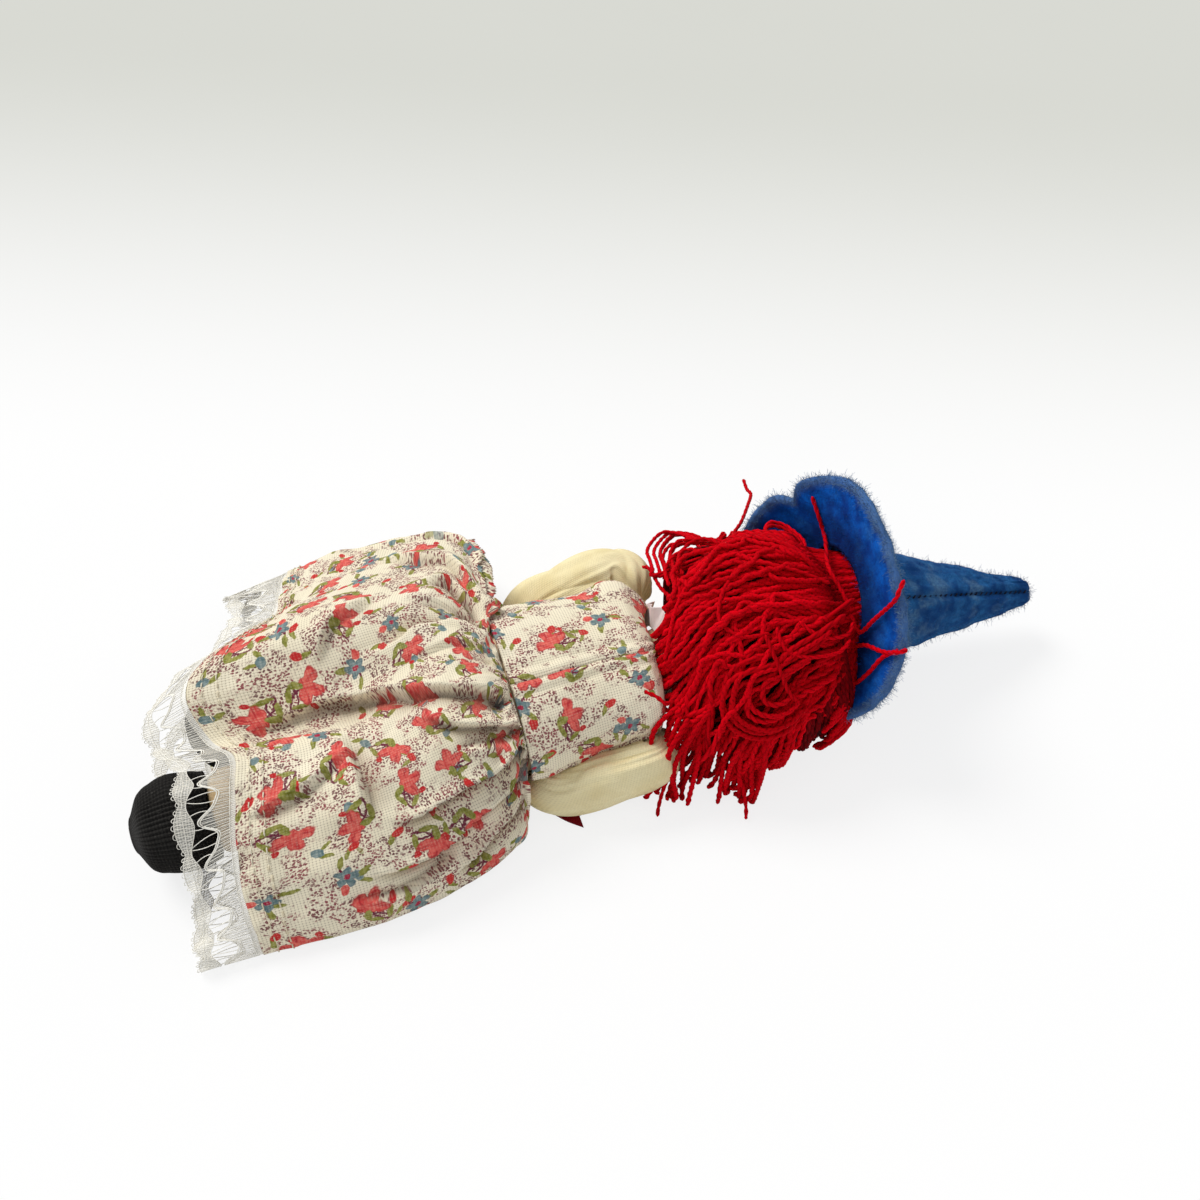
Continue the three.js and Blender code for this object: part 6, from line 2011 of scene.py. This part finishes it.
over = smooth_ways([
    [*on_brim((47, 0.78, 0.8), (46, 0.5, 0.9), (43, 0.12, 1.0)),
     *on_hair([(17, -8), (18, -24), (19, -38)], 2.4)],
    [*on_hair([(19, -40)], 2.0), *on_brim((-64, 0.08, 1.0), (-50, 0.44, 0.9), (-40, 0.96, 0.9),
                                          (-36, 1.1, 0.2), (-32, 1.14, -1.5))],
    [*on_hair([(14, -56)], 2.2), *on_brim((-80, 0.04, 1.0), (-70, 0.29, 0.9), (-66, 0.7, 0.9),
                                          (-62, 1.03, 0.8), (-60, 1.12, -0.6))],
    on_brim((-61, 1.03, 0.8), (-69, 0.73, 0.9), (-82, 0.61, 0.9), (-96, 0.55, 0.9),
            (-110, 0.5, 0.9), (-128, 0.4, 0.9), (-139, 0.32, 0.9)),
    on_brim((-112, 1.06, 0.3), (-108, 1.0, 0.8), (-101, 0.9, 0.8)),
], SHORT_STEPS)
yarn_piece("hair_over_brim_yarn", over, radius=0.55)

tucked = []
for degrees in np.linspace(-118, 46, 64) + rng.uniform(-1.5, 1.5, 64):
    turn, reach = math.radians(degrees), rng.uniform(13.2, 14.6)
    into_hat = from_hat(np.array(
        [rng.uniform(0.5, 2.0), reach * math.sin(turn), reach * math.cos(turn)]))
    tucked.append([*on_hair([(rng.uniform(6, 11), degrees - 5), (14, degrees), (18.5, degrees + 2)],
                            np.array([0.4, -0.6, -4]) + rng.uniform(-0.4, 0.8)), into_hat])
yarn_piece("hair_tucked_yarn", smooth_ways(tucked, 30))
print("strands laid over the brim")

# %% [markdown]
# ## Table, light and camera
#
# The doll lies on flat white paper in soft daylight from the far left; the paper is
# painted greyer far behind it, as the shade where the real paper rises. A large sun disc
# gives the soft shadow, and a white world fills it, so colours render about as they are
# written.

# %% Paper
def paper_paint():
    """White paper, painted a little greyer far behind the doll as the shade where the real
    paper rises. The camera sees it mostly as the even white of a photographer's table, with
    a fifth of its shading left, so the doll keeps a faint shadow; light that bounces off it
    is that of ordinary paper."""
    paint = Paint("paper", Roughness=0.9)
    x, y, _ = paint.split(paint.coords())
    # Painted shade: greyer far behind the doll, where the real paper rises.
    far = paint.step(y + x * 0.45, 0.06, 0.36)
    grain = paint.noise(paint.coords(), 9.0, 3.0) * 0.5
    seen = paint.mix(far, rgb(255, 255, 255),
                     paint.mix(grain, rgb(216, 217, 210), rgb(210, 211, 204)))
    paint.set(Base_Color=paint.mix(far, rgb(250, 250, 250), rgb(222, 223, 218)))
    glow = paint.node("Emission", inputs={"Color": seen, "Strength": 1.0})
    camera_ray = paint.node("LightPath", output="Is Camera Ray")
    both = paint.node("MixShader", inputs={
        0: camera_ray * 0.8, 1: Wire(paint, paint.shader.outputs[0]), 2: glow})
    paint.tree.links.new(both.socket, paint.tree.nodes["Material Output"].inputs["Surface"])
    return paint.material


HALF = 2.5
floor_mesh = bpy.data.meshes.new("paper")
floor_mesh.from_pydata([(-HALF, -HALF, 0), (HALF, -HALF, 0), (HALF, HALF, 0), (-HALF, HALF, 0)], [],
                       [(0, 1, 2, 3)])
floor = put_in_scene("paper_floor", floor_mesh)
floor.data.materials.append(paper_paint())

# %% Light
SUN_HEIGHT, SUN_TURN, SUN_SOFTNESS = math.radians(50), math.radians(124), math.radians(26)
SUN_STRENGTH, SKY_STRENGTH = 2.15, 0.53
SUN_COLOR, SKY_COLOR = (1.0, 0.985, 0.96), (0.97, 0.985, 1.0, 1.0)
sun_data = bpy.data.lights.new("window_light", "SUN")
sun_data.energy, sun_data.angle, sun_data.color = SUN_STRENGTH, SUN_SOFTNESS, SUN_COLOR
sun = put_in_scene("window_light", sun_data)
from_sun = Vector((math.cos(SUN_TURN) * math.cos(SUN_HEIGHT),
                   math.sin(SUN_TURN) * math.cos(SUN_HEIGHT), math.sin(SUN_HEIGHT)))
sun.rotation_euler = from_sun.to_track_quat("Z", "Y").to_euler()
world = bpy.data.worlds.new("daylight")
bpy.context.scene.world = world
world.use_nodes = True
sky = world.node_tree.nodes["Background"].inputs
sky["Color"].default_value, sky["Strength"].default_value = SKY_COLOR, SKY_STRENGTH

# %% Camera
LENS, SENSOR = 42.4, 36.0
camera_place, camera_aim = (-44.315, -219.495, 325.169), (40, 40, 0)
camera_data = bpy.data.cameras.new("camera")
camera_data.lens, camera_data.sensor_width = LENS, SENSOR
camera = put_in_scene("camera", camera_data)
camera.location = Vector(at(camera_place))
aim = Vector(at(camera_aim)) - camera.location
camera.rotation_euler = aim.to_track_quat("-Z", "Y").to_euler()
bpy.context.scene.camera = camera
bpy.context.scene.view_settings.view_transform = "Standard"
print("camera looks down by", round(math.degrees(math.asin(-aim.normalized().z)), 1), "degrees")
